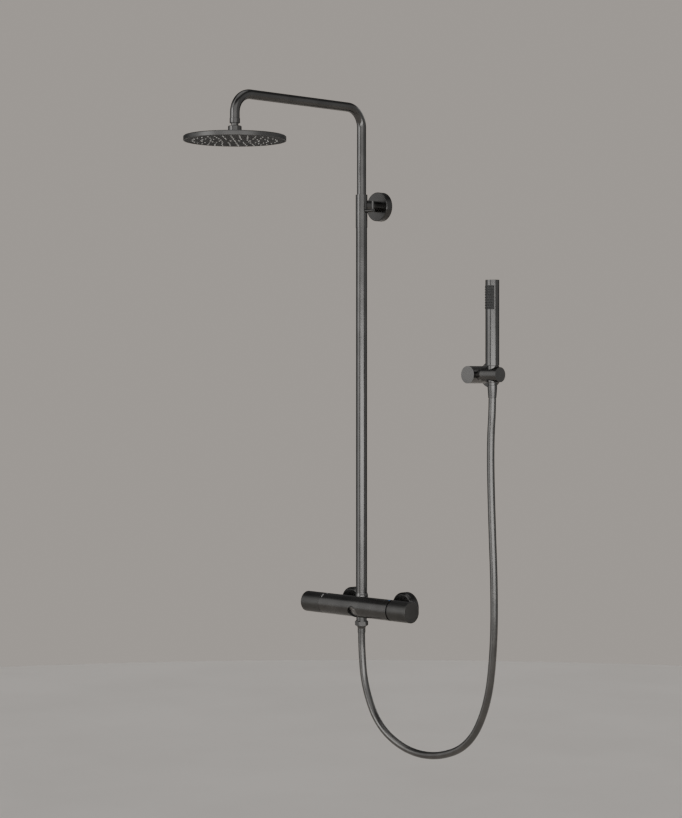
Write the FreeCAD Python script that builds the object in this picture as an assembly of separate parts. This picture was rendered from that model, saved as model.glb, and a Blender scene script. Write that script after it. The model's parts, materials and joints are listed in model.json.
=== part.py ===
import FreeCAD, Part
import math
import os

# Wall-mounted rainfall shower column, millimetres.  The origin lies on the finished wall, midway between
# the two water inlets.  +X runs right along the wall, +Y into the wall, +Z up.

# ---- driving dimensions ---------------------------------------------------------------------------------
INLET_SPACING = 150.0          # centre distance of the two wall inlets
INLET_THREAD_RADIUS = 10.475   # G1/2 tails that screw into the wall
INLET_TAIL_LENGTH = 18.0
COLUMN_Y = -60.0               # riser axis, in front of the wall

BAR_Y = -69.0                  # axis of the thermostat bar
BAR_RADIUS = 21.25
BAR_BODY_HALF = 98.0
BAR_HALF = 152.0               # out to the end faces of the knobs
BAR_SHELL = 2.8

LOWER_TUBE_RADIUS = 11.5
UPPER_TUBE_RADIUS = 9.5
TUBE_WALL = 1.4
SLEEVE_RADIUS = 12.15
SLEEVE_BOTTOM = 779.0
SLEEVE_TOP = 847.0

ARM_HEIGHT = 1024.0
ARM_REACH = 345.0
ARM_BEND_RADIUS = 39.5
ARM_FOOT = 480.0               # lower end of the sliding tube, inside the riser
STEM_END = 974.0

BALL_CENTRE_Z = 950.0
BALL_RADIUS = 9.6
HEAD_RADIUS = 100.0
HEAD_TOP = 939.2
HEAD_BOTTOM = 929.8
NOZZLE_RINGS = [(6, 9.4), (12, 29.8), (20, 47.2), (26, 64.6), (32, 82.0)]   # count and radius of each ring
NOZZLE_TURN = 134.0            # direction of the straight row that all rings share

BRACKET_Z = 825.0
HOLDER_X = 305.0
HOLDER_Z = 476.4
HANDSET_X = 350.5
HANDSET_Y = -50.0
HANDSET_RADIUS = 13.5
HANDSET_BOTTOM = 494.0
HANDSET_TOP = 660.0

HOSE_RADIUS = 7.4
HOSE_LOW_END = -54.0
HOSE_HIGH_END = 430.0
UPPER_FERRULE_BOTTOM = 431.0   # a millimetre clear of the hose, so that the holder can tilt
# Route of the hose from the mixer outlet to the handset, a list of corner points.
HOSE_ROUTE = [
    (0.0, -60.0, HOSE_LOW_END),
    (0.2, -60.0, -92.0),
    (9.0, -59.6, -166.0),
    (47.0, -58.2, -241.0),
    (122.0, -56.0, -281.5),
    (208.0, -53.6, -284.5),
    (292.0, -51.4, -250.0),
    (339.0, -50.4, -166.0),
    (354.5, -50.0, -56.0),
    (355.5, -50.0, 62.0),
    (350.0, -50.0, 178.0),
    (346.0, -50.0, 290.0),
    (346.4, -50.0, 358.0),
    (350.0, -50.0, 400.0),
    (350.5, -50.0, HOSE_HIGH_END),
]

# ---- small helpers --------------------------------------------------------------------------------------
LEFT_RIGHT = (-1.0, 1.0)
UP = FreeCAD.Vector(0, 0, 1)
OUT_OF_WALL = FreeCAD.Vector(0, -1, 0)
ALONG_WALL = FreeCAD.Vector(1, 0, 0)


def at(x, y, z):
    return FreeCAD.Vector(x, y, z)


def rod(radius, start, end):
    """Solid cylinder between two points."""
    return Part.makeCylinder(radius, (end - start).Length, start, end - start)


def pipe(outer, inner, start, end):
    """Tube between two points."""
    reach = (end - start).normalize() * 1.0
    return rod(outer, start, end).cut(rod(inner, start - reach, end + reach))


def turned(outline, base, direction):
    """Lathe-turned solid: (radius, height) corners turned about the axis through base."""
    corners = [at(radius, 0, height) for radius, height in outline]
    face = Part.Face(Part.makePolygon(corners + corners[:1]))
    solid = face.revolve(at(0, 0, 0), UP, 360)
    solid.Placement = FreeCAD.Placement(base, FreeCAD.Rotation(UP, direction))
    return solid


def hexagon(across_flats, start, end, turn=0.0):
    """Hexagonal bar between two points."""
    corner_radius = across_flats / math.sqrt(3)
    corners = []
    for side in range(6):
        angle = math.radians(60 * side + turn)
        corners.append(at(corner_radius * math.cos(angle), corner_radius * math.sin(angle), 0))
    face = Part.Face(Part.makePolygon(corners + corners[:1]))
    prism = face.extrude(UP * (end - start).Length)
    prism.Placement = FreeCAD.Placement(start, FreeCAD.Rotation(UP, end - start))
    return prism


def pair(make):
    """The same solid at both inlets."""
    return Part.makeCompound([make(side * INLET_SPACING / 2) for side in LEFT_RIGHT])


def bar_rod(radius, x_low, x_high):
    """Cylinder on the axis of the thermostat bar."""
    return rod(radius, at(x_low, BAR_Y, 0), at(x_high, BAR_Y, 0))


def column_rod(radius, z_low, z_high):
    """Cylinder on the axis of the riser."""
    return rod(radius, at(0, COLUMN_Y, z_low), at(0, COLUMN_Y, z_high))


def save(node, shape):
    if not shape.isValid() or not shape.Solids:
        raise ValueError("bad shape: " + node)
    shape.exportStep("parts/" + node + ".step")


os.makedirs("parts", exist_ok=True)

# ---- thermostat bar -------------------------------------------------------------------------------------
BUTTON_TILT = math.radians(30.0)
BUTTON_AXIS = at(0, -math.cos(BUTTON_TILT), -math.sin(BUTTON_TILT))
BUTTON_WELL_RADIUS = 12.5
BUTTON_RADIUS = 11.9
BUTTON_STEM_RADIUS = 4.8
BUTTON_BACK = 14.3             # distances from the bar axis, along the button axis
BUTTON_FRONT = 16.3
BUTTON_STEM_END = 5.0
GUIDE_FRONT = 8.6
FLOW_BORE_RADIUS = 13.0
THERMO_BORE_RADIUS = 15.0
CARTRIDGE_INNER_END = 42.0
CARTRIDGE_OUTER_END = 95.0
FIT_GAP = 0.1
STUB_RADIUS = 13.0
STUB_END_Y = -42.0
STUB_BORE_RADIUS = 9.0
NIPPLE_RADIUS = 10.8
NIPPLE_BORE = 6.5
RISER_PORT_RADIUS = 8.5


def on_button_axis(distance):
    return at(0, BAR_Y, 0) + BUTTON_AXIS * distance


def make_mixer_sleeve():
    inner = BAR_RADIUS - BAR_SHELL
    shell = bar_rod(BAR_RADIUS, -BAR_BODY_HALF, BAR_BODY_HALF).cut(bar_rod(inner, -BAR_HALF, BAR_HALF))
    cutters = [rod(BUTTON_WELL_RADIUS, on_button_axis(0), on_button_axis(BAR_RADIUS + 5))]
    cutters.append(column_rod(RISER_PORT_RADIUS + 1, 0, BAR_RADIUS + 5))
    cutters.append(column_rod(RISER_PORT_RADIUS + 1, -BAR_RADIUS - 5, 0))
    for side in LEFT_RIGHT:
        inlet_x = side * INLET_SPACING / 2
        cutters.append(rod(STUB_RADIUS + FIT_GAP, at(inlet_x, BAR_Y, 0), at(inlet_x, -40, 0)))
    return shell.cut(cutters)


def make_valve_body():
    body = bar_rod(BAR_RADIUS - BAR_SHELL - FIT_GAP, -BAR_BODY_HALF + 1, BAR_BODY_HALF - 1)
    for side in LEFT_RIGHT:
        inlet_x = side * INLET_SPACING / 2
        body = body.fuse(rod(STUB_RADIUS, at(inlet_x, BAR_Y, 0), at(inlet_x, STUB_END_Y, 0)))
    cutters = [
        bar_rod(FLOW_BORE_RADIUS, -BAR_HALF, -CARTRIDGE_INNER_END + 2),
        bar_rod(THERMO_BORE_RADIUS, CARTRIDGE_INNER_END - 2, BAR_HALF),
        rod(BUTTON_WELL_RADIUS, on_button_axis(0), on_button_axis(BAR_RADIUS + 5)),
        column_rod(RISER_PORT_RADIUS - 1, 0, BAR_RADIUS + 5),
        column_rod(NIPPLE_BORE, -BAR_RADIUS - 5, -8),
    ]
    for side in LEFT_RIGHT:
        inlet_x = side * INLET_SPACING / 2
        cutters.append(rod(STUB_BORE_RADIUS, at(inlet_x, -58, 0), at(inlet_x, -40, 0)))
    return body.cut(cutters)


def make_cartridge(radius, side, spindle_radius):
    """Valve cartridge at one end of the bar, with the passage for its spindle."""
    body = bar_rod(radius, *sorted((side * CARTRIDGE_INNER_END, side * CARTRIDGE_OUTER_END)))
    bore = bar_rod(spindle_radius + FIT_GAP, *sorted((side * (CARTRIDGE_OUTER_END - 28), side * BAR_HALF)))
    return body.cut(bore)


def make_diverter_guide():
    return pipe(BUTTON_WELL_RADIUS - 0.2, BUTTON_STEM_RADIUS + 0.2, on_button_axis(0.6),
                on_button_axis(GUIDE_FRONT))


def make_diverter_button():
    disc = rod(BUTTON_RADIUS, on_button_axis(BUTTON_BACK), on_button_axis(BUTTON_FRONT))
    return disc.fuse(rod(BUTTON_STEM_RADIUS, on_button_axis(BUTTON_STEM_END), on_button_axis(BUTTON_BACK)))


def make_diverter_spring():
    return pipe(8.4, 6.4, on_button_axis(GUIDE_FRONT + 0.1), on_button_axis(BUTTON_BACK - 0.1))


save("mixer_sleeve", make_mixer_sleeve())
save("valve_body", make_valve_body())
save("flow_cartridge", make_cartridge(FLOW_BORE_RADIUS - FIT_GAP, -1, 5.0))
save("thermostat_cartridge", make_cartridge(THERMO_BORE_RADIUS - FIT_GAP, 1, 5.0))
save("diverter_guide", make_diverter_guide())
save("diverter_button", make_diverter_button())
save("diverter_spring", make_diverter_spring())

# ---- knobs ----------------------------------------------------------------------------------------------
KNOB_WALL = 2.2
KNOB_EDGE = 1.0
FLOW_KNOB_START = 98.6
TEMPERATURE_KNOB_START = 101.0
INSERT_RADIUS = 15.5
SPINDLE_RADIUS = 5.0


def make_knob(start):
    """Cup-shaped knob from start to the end face, turned along its own axis."""
    inner = BAR_RADIUS - KNOB_WALL
    return [(INSERT_RADIUS + FIT_GAP, BAR_HALF - KNOB_WALL - 18), (inner, BAR_HALF - KNOB_WALL - 18),
            (inner, start), (BAR_RADIUS, start), (BAR_RADIUS, BAR_HALF - KNOB_EDGE),
            (BAR_RADIUS - KNOB_EDGE, BAR_HALF), (0, BAR_HALF), (0, BAR_HALF - KNOB_WALL),
            (INSERT_RADIUS + FIT_GAP, BAR_HALF - KNOB_WALL)]


def knob_direction(side):
    return ALONG_WALL * side


def make_insert(side):
    """Toothed carrier that joins the knob to the spindle."""
    ring = bar_rod(INSERT_RADIUS, *sorted((side * 130.0, side * (BAR_HALF - KNOB_WALL - FIT_GAP))))
    return ring.cut(bar_rod(SPINDLE_RADIUS + FIT_GAP, *sorted((side * 120.0, side * 146.0))))


def make_spindle(side):
    return bar_rod(SPINDLE_RADIUS, *sorted((side * (CARTRIDGE_OUTER_END - 27), side * 145.5)))


BAR_CENTRE = at(0, BAR_Y, 0)
save("flow_knob", turned(make_knob(FLOW_KNOB_START), BAR_CENTRE, knob_direction(-1)))
save("temperature_knob", turned(make_knob(TEMPERATURE_KNOB_START), BAR_CENTRE, knob_direction(1)))
save("flow_knob_insert", make_insert(-1))
save("temperature_knob_insert", make_insert(1))
save("flow_spindle", make_spindle(-1))
save("temperature_spindle", make_spindle(1))
save("temperature_stop_ring", pipe(19.6, 10.0, at(98.1, BAR_Y, 0), at(100.7, BAR_Y, 0)))

# ---- wall inlets ----------------------------------------------------------------------------------------
UNION_RADIUS = 12.2
UNION_BORE = 7.5
ROSETTE_RADIUS = 31.0
ROSETTE_DEPTH = 18.5
ROSETTE_BEVEL = 4.0


def make_inlet_union(inlet_x):
    outline = [(UNION_BORE, -INLET_TAIL_LENGTH), (INLET_THREAD_RADIUS, -INLET_TAIL_LENGTH),
               (INLET_THREAD_RADIUS, 0), (UNION_RADIUS, 0), (UNION_RADIUS, 36), (12.9, 36), (12.9, 39.9),
               (UNION_BORE, 39.9)]
    return turned(outline, at(inlet_x, 0, 0), OUT_OF_WALL)


def make_union_nut(inlet_x):
    nut = hexagon(30.0, at(inlet_x, -46.5, 0), at(inlet_x, -28, 0), 30.0)
    nut = nut.cut(rod(STUB_RADIUS + FIT_GAP, at(inlet_x, -47, 0), at(inlet_x, -35.9, 0)))
    return nut.cut(rod(UNION_RADIUS + FIT_GAP, at(inlet_x, -36, 0), at(inlet_x, -27, 0)))


def make_inlet_filter(inlet_x):
    return pipe(12.8, 6.5, at(inlet_x, -41.9, 0), at(inlet_x, -40.0, 0))


def make_check_valve(inlet_x):
    body = rod(STUB_BORE_RADIUS - FIT_GAP, at(inlet_x, -53.5, 0), at(inlet_x, -43, 0))
    return body.cut(rod(5.0, at(inlet_x, -49, 0), at(inlet_x, -42, 0)))


def make_rosette_outline(radius, depth, bevel, hole, wall):
    """Hollow wall rosette: a cup with a bevelled front edge and a centre hole."""
    return [(radius, 0), (radius, depth - bevel), (radius - bevel, depth), (hole, depth),
            (hole, depth - wall), (radius - bevel - wall, depth - wall), (radius - wall, depth - bevel - wall),
            (radius - wall, 0)]


def make_inlet_rosette(inlet_x):
    outline = make_rosette_outline(ROSETTE_RADIUS, ROSETTE_DEPTH, ROSETTE_BEVEL, UNION_RADIUS + 0.3, 1.5)
    return turned(outline, at(inlet_x, 0, 0), OUT_OF_WALL)


save("inlet_unions", pair(make_inlet_union))
save("union_nuts", pair(make_union_nut))
save("inlet_filters", pair(make_inlet_filter))
save("check_valves", pair(make_check_valve))
save("inlet_rosettes", pair(make_inlet_rosette))

# ---- riser ----------------------------------------------------------------------------------------------
FOOT_SHOULDER = 21.8
RISER_BOTTOM = 23.2
RISER_TOP = 798.0
SLEEVE_LOCK_BORE = 9.75
SLEEVE_SOCKET = 11.6
BUSH_BOTTOM = 822.0
BUSH_TOP = 843.0
BAR_CLEARANCE = 0.05
LOCK_Z = 813.0
LOCK_STEM_RADIUS = 1.9
LOCK_ROD_RADIUS = 3.5
LOCK_END_X = 35.2
LOCK_ARM_RADIUS = 2.4
LOCK_ARM_TOP = 832.3


def make_riser_foot():
    outline = [(RISER_PORT_RADIUS, 0), (13.3, 0), (13.3, 22.5), (12.6, 25.5), (12.3, 28.0),
               (SLEEVE_SOCKET, 28.0), (SLEEVE_SOCKET, FOOT_SHOULDER), (RISER_PORT_RADIUS, FOOT_SHOULDER)]
    foot = turned(outline, at(0, COLUMN_Y, 0), UP)
    return foot.cut(bar_rod(BAR_RADIUS + BAR_CLEARANCE, -BAR_HALF, BAR_HALF))


def make_slide_sleeve():
    outline = [(SLEEVE_SOCKET, SLEEVE_BOTTOM), (SLEEVE_RADIUS, SLEEVE_BOTTOM), (SLEEVE_RADIUS, SLEEVE_TOP),
               (SLEEVE_LOCK_BORE, SLEEVE_TOP), (SLEEVE_LOCK_BORE, BUSH_TOP), (SLEEVE_SOCKET, BUSH_TOP),
               (SLEEVE_SOCKET, BUSH_BOTTOM), (SLEEVE_LOCK_BORE, BUSH_BOTTOM), (SLEEVE_LOCK_BORE, RISER_TOP),
               (SLEEVE_SOCKET, RISER_TOP)]
    sleeve = turned(outline, at(0, COLUMN_Y, 0), UP)
    return sleeve.cut(rod(LOCK_STEM_RADIUS + FIT_GAP, at(0, COLUMN_Y, LOCK_Z), at(20, COLUMN_Y, LOCK_Z)))


def make_lock_lever():
    stem = rod(LOCK_STEM_RADIUS, at(10.7, COLUMN_Y, LOCK_Z), at(13, COLUMN_Y, LOCK_Z))
    handle = rod(LOCK_ROD_RADIUS, at(12.6, COLUMN_Y, LOCK_Z), at(LOCK_END_X, COLUMN_Y, LOCK_Z))
    arm_x = LOCK_END_X - LOCK_ARM_RADIUS
    arm = rod(LOCK_ARM_RADIUS, at(arm_x, COLUMN_Y, LOCK_Z), at(arm_x, COLUMN_Y, LOCK_ARM_TOP))
    return stem.fuse(handle).fuse(arm)


save("riser_foot", make_riser_foot())
save("riser_seal", pipe(LOWER_TUBE_RADIUS - FIT_GAP, 9.0, at(0, COLUMN_Y, FOOT_SHOULDER + 0.05),
                        at(0, COLUMN_Y, RISER_BOTTOM - 0.05)))
save("riser_tube", pipe(LOWER_TUBE_RADIUS, LOWER_TUBE_RADIUS - TUBE_WALL, at(0, COLUMN_Y, RISER_BOTTOM),
                        at(0, COLUMN_Y, RISER_TOP - FIT_GAP)))
save("slide_sleeve", make_slide_sleeve())
save("guide_bush", pipe(SLEEVE_SOCKET - 0.1, UPPER_TUBE_RADIUS + 0.1, at(0, COLUMN_Y, BUSH_BOTTOM + 0.2),
                        at(0, COLUMN_Y, BUSH_TOP - 0.2)))
save("lock_pad", rod(LOCK_STEM_RADIUS, at(9.9, COLUMN_Y, LOCK_Z), at(10.6, COLUMN_Y, LOCK_Z)))
save("lock_lever", make_lock_lever())

# ---- upper wall bracket ---------------------------------------------------------------------------------
SPIGOT_RADIUS = 8.0
SCREW_HOLE_RADIUS = 2.75
BRACKET_POST_RADIUS = 11.5
BRACKET_ROSETTE_RADIUS = 30.0
BRACKET_ROSETTE_DEPTH = 16.0
BRACKET_SCREW_OFFSET = 18.0
WALL_PLATE_THICKNESS = 4.0
GRUB_RADIUS = 1.5
GRUB_OFFSET = 6.0              # grub screw axis, in front of the rosette
SPIGOT_END = -30.0


def make_wall_plate(x, z, radius, screw_offset, spigot_end):
    """Round plate screwed to the wall, with the spigot that carries the post."""
    plate = rod(radius, at(x, 0, z), at(x, -WALL_PLATE_THICKNESS, z))
    plate = plate.fuse(rod(SPIGOT_RADIUS, at(x, -WALL_PLATE_THICKNESS, z), at(x, spigot_end, z)))
    for side in LEFT_RIGHT:
        hole_x = x + side * screw_offset
        plate = plate.cut(rod(SCREW_HOLE_RADIUS, at(hole_x, 1, z), at(hole_x, -WALL_PLATE_THICKNESS - 1, z)))
    return plate


def make_post(x, z, radius, front, back, spigot_end):
    """Post that slips over the spigot of the wall plate, with its grub screw hole underneath."""
    post = rod(radius, at(x, front, z), at(x, back, z))
    post = post.cut(rod(SPIGOT_RADIUS + FIT_GAP, at(x, spigot_end - 1, z), at(x, 1, z)))
    grub_y = back - GRUB_OFFSET
    return post.cut(rod(GRUB_RADIUS + 0.05, at(x, grub_y, z - radius - 1), at(x, grub_y, z)))


def make_grub_screw(x, z, radius, back):
    grub_y = back - GRUB_OFFSET
    return rod(GRUB_RADIUS, at(x, grub_y, z - radius + 0.5), at(x, grub_y, z - SPIGOT_RADIUS - 0.05))


bracket_post = make_post(0, BRACKET_Z, BRACKET_POST_RADIUS, COLUMN_Y, -BRACKET_ROSETTE_DEPTH, SPIGOT_END)
save("bracket_post", bracket_post.cut(column_rod(SLEEVE_RADIUS + 0.05, SLEEVE_BOTTOM, SLEEVE_TOP)))
save("bracket_rosette", turned(
    make_rosette_outline(BRACKET_ROSETTE_RADIUS, BRACKET_ROSETTE_DEPTH, 0.8, SPIGOT_RADIUS + FIT_GAP, 2.0),
    at(0, 0, BRACKET_Z), OUT_OF_WALL))
save("bracket_wall_plate", make_wall_plate(0, BRACKET_Z, 26.0, BRACKET_SCREW_OFFSET, SPIGOT_END))
save("bracket_grub_screw", make_grub_screw(0, BRACKET_Z, BRACKET_POST_RADIUS, -BRACKET_ROSETTE_DEPTH))

# ---- sliding arm ----------------------------------------------------------------------------------------
ARM_BORE = UPPER_TUBE_RADIUS - TUBE_WALL - 0.1


def make_arm_path():
    """Centre line of the sliding tube: up, over the upper bend, out, over the front bend and down."""
    front_y = COLUMN_Y - ARM_REACH
    bend = ARM_BEND_RADIUS
    lean = bend * (1 - math.sqrt(0.5))
    foot = at(0, COLUMN_Y, ARM_FOOT)
    rise_end = at(0, COLUMN_Y, ARM_HEIGHT - bend)
    arm_start = at(0, COLUMN_Y - bend, ARM_HEIGHT)
    arm_end = at(0, front_y + bend, ARM_HEIGHT)
    drop_start = at(0, front_y, ARM_HEIGHT - bend)
    edges = [
        Part.LineSegment(foot, rise_end).toShape(),
        Part.Arc(rise_end, at(0, COLUMN_Y - lean, ARM_HEIGHT - lean), arm_start).toShape(),
        Part.LineSegment(arm_start, arm_end).toShape(),
        Part.Arc(arm_end, at(0, front_y + lean, ARM_HEIGHT - lean), drop_start).toShape(),
        Part.LineSegment(drop_start, at(0, front_y, STEM_END)).toShape(),
    ]
    return Part.Wire(edges)


def swept(path, radius, start, direction):
    ring = Part.Wire(Part.makeCircle(radius, start, direction))
    return path.makePipeShell([ring], True, False)


def make_arm_tube():
    path = make_arm_path()
    foot = at(0, COLUMN_Y, ARM_FOOT)
    return swept(path, UPPER_TUBE_RADIUS, foot, UP).cut(swept(path, ARM_BORE, foot, UP))


def make_arm_seals():
    rings = []
    for z in (486.0, 494.0):
        rings.append(pipe(10.0, UPPER_TUBE_RADIUS + 0.02, at(0, COLUMN_Y, z), at(0, COLUMN_Y, z + 3)))
    return Part.makeCompound(rings)


HEAD_Y = COLUMN_Y - ARM_REACH
COLLAR_RADIUS = 10.15
COLLAR_BOTTOM = 964.0
NECK_RADIUS = 7.0
NECK_BOTTOM = 959.2
BALL_NECK_RADIUS = 5.2


def make_ball_stem():
    """Threaded stem in the arm, neck and swivel ball in one piece."""
    stem = rod(ARM_BORE - FIT_GAP, at(0, HEAD_Y, COLLAR_BOTTOM), at(0, HEAD_Y, COLLAR_BOTTOM + 20))
    neck = rod(NECK_RADIUS, at(0, HEAD_Y, NECK_BOTTOM), at(0, HEAD_Y, COLLAR_BOTTOM))
    throat = rod(BALL_NECK_RADIUS, at(0, HEAD_Y, BALL_CENTRE_Z), at(0, HEAD_Y, NECK_BOTTOM))
    ball = Part.makeSphere(BALL_RADIUS, at(0, HEAD_Y, BALL_CENTRE_Z))
    piece = stem.fuse(neck).fuse(throat).fuse(ball)
    return piece.cut(rod(3.2, at(0, HEAD_Y, BALL_CENTRE_Z - 20), at(0, HEAD_Y, COLLAR_BOTTOM + 30)))


save("arm_tube", make_arm_tube())
save("arm_seals", make_arm_seals())
save("arm_collar", pipe(COLLAR_RADIUS, ARM_BORE, at(0, HEAD_Y, COLLAR_BOTTOM + 0.05),
                        at(0, HEAD_Y, STEM_END - 0.05)))
save("ball_stem", make_ball_stem())

# ---- rain head ------------------------------------------------------------------------------------------
SEAT_INNER = 9.9
SEAT_OUTER = 11.0
SEAT_HALF = 2.5
NUT_RADIUS = 13.3
NUT_SOCKET = 11.3
NUT_LIP_HEIGHT = 6.0
NUT_LIP_RADIUS = 9.0
NUT_TOP = 958.8
NUT_MOUTH = 11.4
PLATE_RADIUS = 96.3
PLATE_BOTTOM = 930.2
PLATE_TOP = 932.0
MAT_RADIUS = 90.0
MAT_TOP = 933.6
NOZZLE_TIP = 928.9
NOZZLE_RADIUS = 1.35
RIM_CHAMFER = 1.5


def make_seat_ring():
    shell = Part.makeSphere(SEAT_OUTER).cut(Part.makeSphere(SEAT_INNER))
    band = Part.makeCylinder(SEAT_OUTER + 1, 2 * SEAT_HALF, at(0, 0, -SEAT_HALF))
    ring = shell.common(band)
    ring.translate(at(0, HEAD_Y, BALL_CENTRE_Z))
    return ring


def make_ball_nut():
    base = at(0, HEAD_Y, 0)
    blank = turned([(0, HEAD_TOP + 0.1), (NUT_RADIUS, HEAD_TOP + 0.1), (NUT_RADIUS, NUT_TOP - 1.0),
                    (NUT_RADIUS - 1.0, NUT_TOP), (0, NUT_TOP)], base, UP)
    lip_z = BALL_CENTRE_Z + NUT_LIP_HEIGHT
    mouth = turned([(0, lip_z - 3), (NUT_LIP_RADIUS, lip_z - 3), (NUT_LIP_RADIUS, lip_z),
                    (NUT_MOUTH, NUT_TOP + 0.01), (0, NUT_TOP + 0.01)], base, UP)
    barrel = rod(NUT_SOCKET, at(0, HEAD_Y, HEAD_TOP - 1), at(0, HEAD_Y, BALL_CENTRE_Z))
    socket = Part.makeSphere(NUT_SOCKET, at(0, HEAD_Y, BALL_CENTRE_Z))
    return blank.cut([mouth, barrel, socket])


def make_head_cover():
    roof = PLATE_TOP + 5.2
    outline = [(4.0, roof), (PLATE_RADIUS + 0.2, roof), (PLATE_RADIUS + 0.2, HEAD_BOTTOM),
               (HEAD_RADIUS - 0.5, HEAD_BOTTOM), (HEAD_RADIUS, HEAD_BOTTOM + 0.5),
               (HEAD_RADIUS, HEAD_TOP - RIM_CHAMFER), (HEAD_RADIUS - RIM_CHAMFER, HEAD_TOP), (4.0, HEAD_TOP)]
    return turned(outline, at(0, HEAD_Y, 0), UP)


def nozzle_places():
    """Nozzle centres about the middle of the head."""
    places = [(0.0, 0.0)]
    for count, radius in NOZZLE_RINGS:
        for step in range(count):
            angle = 2 * math.pi * step / count + math.radians(NOZZLE_TURN)
            places.append((radius * math.cos(angle), radius * math.sin(angle)))
    return places


def make_nozzle_mat():
    mat = rod(MAT_RADIUS, at(0, HEAD_Y, PLATE_TOP + 0.05), at(0, HEAD_Y, MAT_TOP))
    pegs = []
    for x, y in nozzle_places():
        pegs.append(rod(NOZZLE_RADIUS, at(x, HEAD_Y + y, NOZZLE_TIP), at(x, HEAD_Y + y, PLATE_TOP + 1)))
    return mat.fuse(pegs)


def make_face_plate():
    plate = rod(PLATE_RADIUS, at(0, HEAD_Y, PLATE_BOTTOM), at(0, HEAD_Y, PLATE_TOP))
    holes = []
    for x, y in nozzle_places():
        low = at(x, HEAD_Y + y, PLATE_BOTTOM - 1)
        high = at(x, HEAD_Y + y, PLATE_TOP + 1)
        holes.append(rod(NOZZLE_RADIUS + 0.15, low, high))
    return plate.cut(holes)


save("ball_seat_ring", make_seat_ring())
save("ball_nut", make_ball_nut())
save("head_gasket", pipe(11.1, 5.0, at(0, HEAD_Y, HEAD_TOP + 0.05), at(0, HEAD_Y, HEAD_TOP + 0.95)))
save("head_cover", make_head_cover())
save("head_face_plate", make_face_plate())
save("nozzle_mat", make_nozzle_mat())

# ---- hose -----------------------------------------------------------------------------------------------
HOSE_NUT_BOTTOM = -39.5
HOSE_NUT_TOP = -29.2
HOSE_NUT_ACROSS = 24.0
HOSE_NUT_TURN = 37.4


def make_outlet_nipple():
    nipple = column_rod(NIPPLE_RADIUS, -29.0, 0).fuse(column_rod(10.4, -36.0, -28.0))
    nipple = nipple.cut(bar_rod(BAR_RADIUS + BAR_CLEARANCE, -BAR_HALF, BAR_HALF))
    return nipple.cut(column_rod(NIPPLE_BORE, -40, 10))


def make_hose_nut():
    low = at(0, COLUMN_Y, HOSE_NUT_BOTTOM)
    high = at(0, COLUMN_Y, HOSE_NUT_TOP)
    nut = hexagon(HOSE_NUT_ACROSS, low, high, HOSE_NUT_TURN)
    return nut.cut([column_rod(10.5, -38.0, 0), column_rod(10.0, -45, -37)])


def make_lower_ferrule():
    outline = [(0, HOSE_LOW_END), (8.1, HOSE_LOW_END), (8.1, -44.5), (8.9, -42.5), (9.9, -40.2), (9.9, -38.0),
               (0, -38.0)]
    return turned(outline, at(0, COLUMN_Y, 0), UP)


def hose_path():
    """Straight runs joined by tangent arcs, each as large as its two runs allow."""
    points = [at(*point) for point in HOSE_ROUTE]
    edges = []
    radii = []
    here = points[0]
    for before, corner, after in zip(points, points[1:], points[2:]):
        arrive = (corner - before).normalize()
        leave = (after - corner).normalize()
        half_turn = arrive.getAngle(leave) / 2
        setback = 0.45 * min((corner - before).Length, (after - corner).Length)
        radius = setback / math.tan(half_turn)
        arc_start = corner - arrive * setback
        arc_end = corner + leave * setback
        inward = (leave - arrive).normalize()
        middle = corner + inward * (radius / math.cos(half_turn) - radius)
        edges.append(Part.LineSegment(here, arc_start).toShape())
        edges.append(Part.Arc(arc_start, middle, arc_end).toShape())
        radii.append(round(radius, 1))
        here = arc_end
    edges.append(Part.LineSegment(here, points[-1]).toShape())
    return Part.Wire(edges), radii


def make_hose():
    path, radii = hose_path()
    start = at(*HOSE_ROUTE[0])
    first_run = at(*HOSE_ROUTE[1]) - start
    hose = swept(path, HOSE_RADIUS, start, first_run)
    nominal = math.pi * HOSE_RADIUS ** 2 * path.Length
    print("hose radii", radii)
    print("hose length", round(path.Length, 1), "volume ratio", round(hose.Volume / nominal, 4))
    return hose


save("outlet_nipple", make_outlet_nipple())
save("hose_nut", make_hose_nut())
save("hose_washer", pipe(10.2, 5.5, at(0, COLUMN_Y, -37.9), at(0, COLUMN_Y, -36.1)))
save("hose_ferrule_lower", make_lower_ferrule())
save("hose", make_hose())

# ---- handset holder -------------------------------------------------------------------------------------
HOLDER_POST_RADIUS = 17.0
HOLDER_POST_FRONT = -71.5
HOLDER_ROSETTE_RADIUS = 25.0
HOLDER_ROSETTE_DEPTH = 8.0
HOLDER_SCREW_OFFSET = 15.0
BARREL_RADIUS = 14.7
BARREL_START = 330.0
BARREL_END = 371.0
PIVOT_RADIUS = 4.9
PIVOT_END = 336.0
SEAT_RADIUS = 12.4
SEAT_TOP_RADIUS = 10.8
SEAT_LOW_RADIUS = 9.8
SLOT_HALF = 8.2


def holder_axis(radius, x_low, x_high):
    """Cylinder on the tilting axis of the holder."""
    return rod(radius, at(x_low, HANDSET_Y, HOLDER_Z), at(x_high, HANDSET_Y, HOLDER_Z))


def hose_slot():
    """Gap at the back of the barrel through which the hose passes."""
    return Part.makeBox(2 * SLOT_HALF, 30, 60, at(HANDSET_X - SLOT_HALF, HANDSET_Y, HOLDER_Z - 30))


def make_holder_barrel():
    barrel = holder_axis(BARREL_RADIUS, BARREL_START, BARREL_END)
    seat = rod(SEAT_RADIUS, at(HANDSET_X, HANDSET_Y, HOLDER_Z - 20), at(HANDSET_X, HANDSET_Y, HOLDER_Z + 20))
    return barrel.cut([seat, hose_slot(), holder_axis(PIVOT_RADIUS + 0.1, BARREL_START - 1, PIVOT_END + 0.5)])


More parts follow.
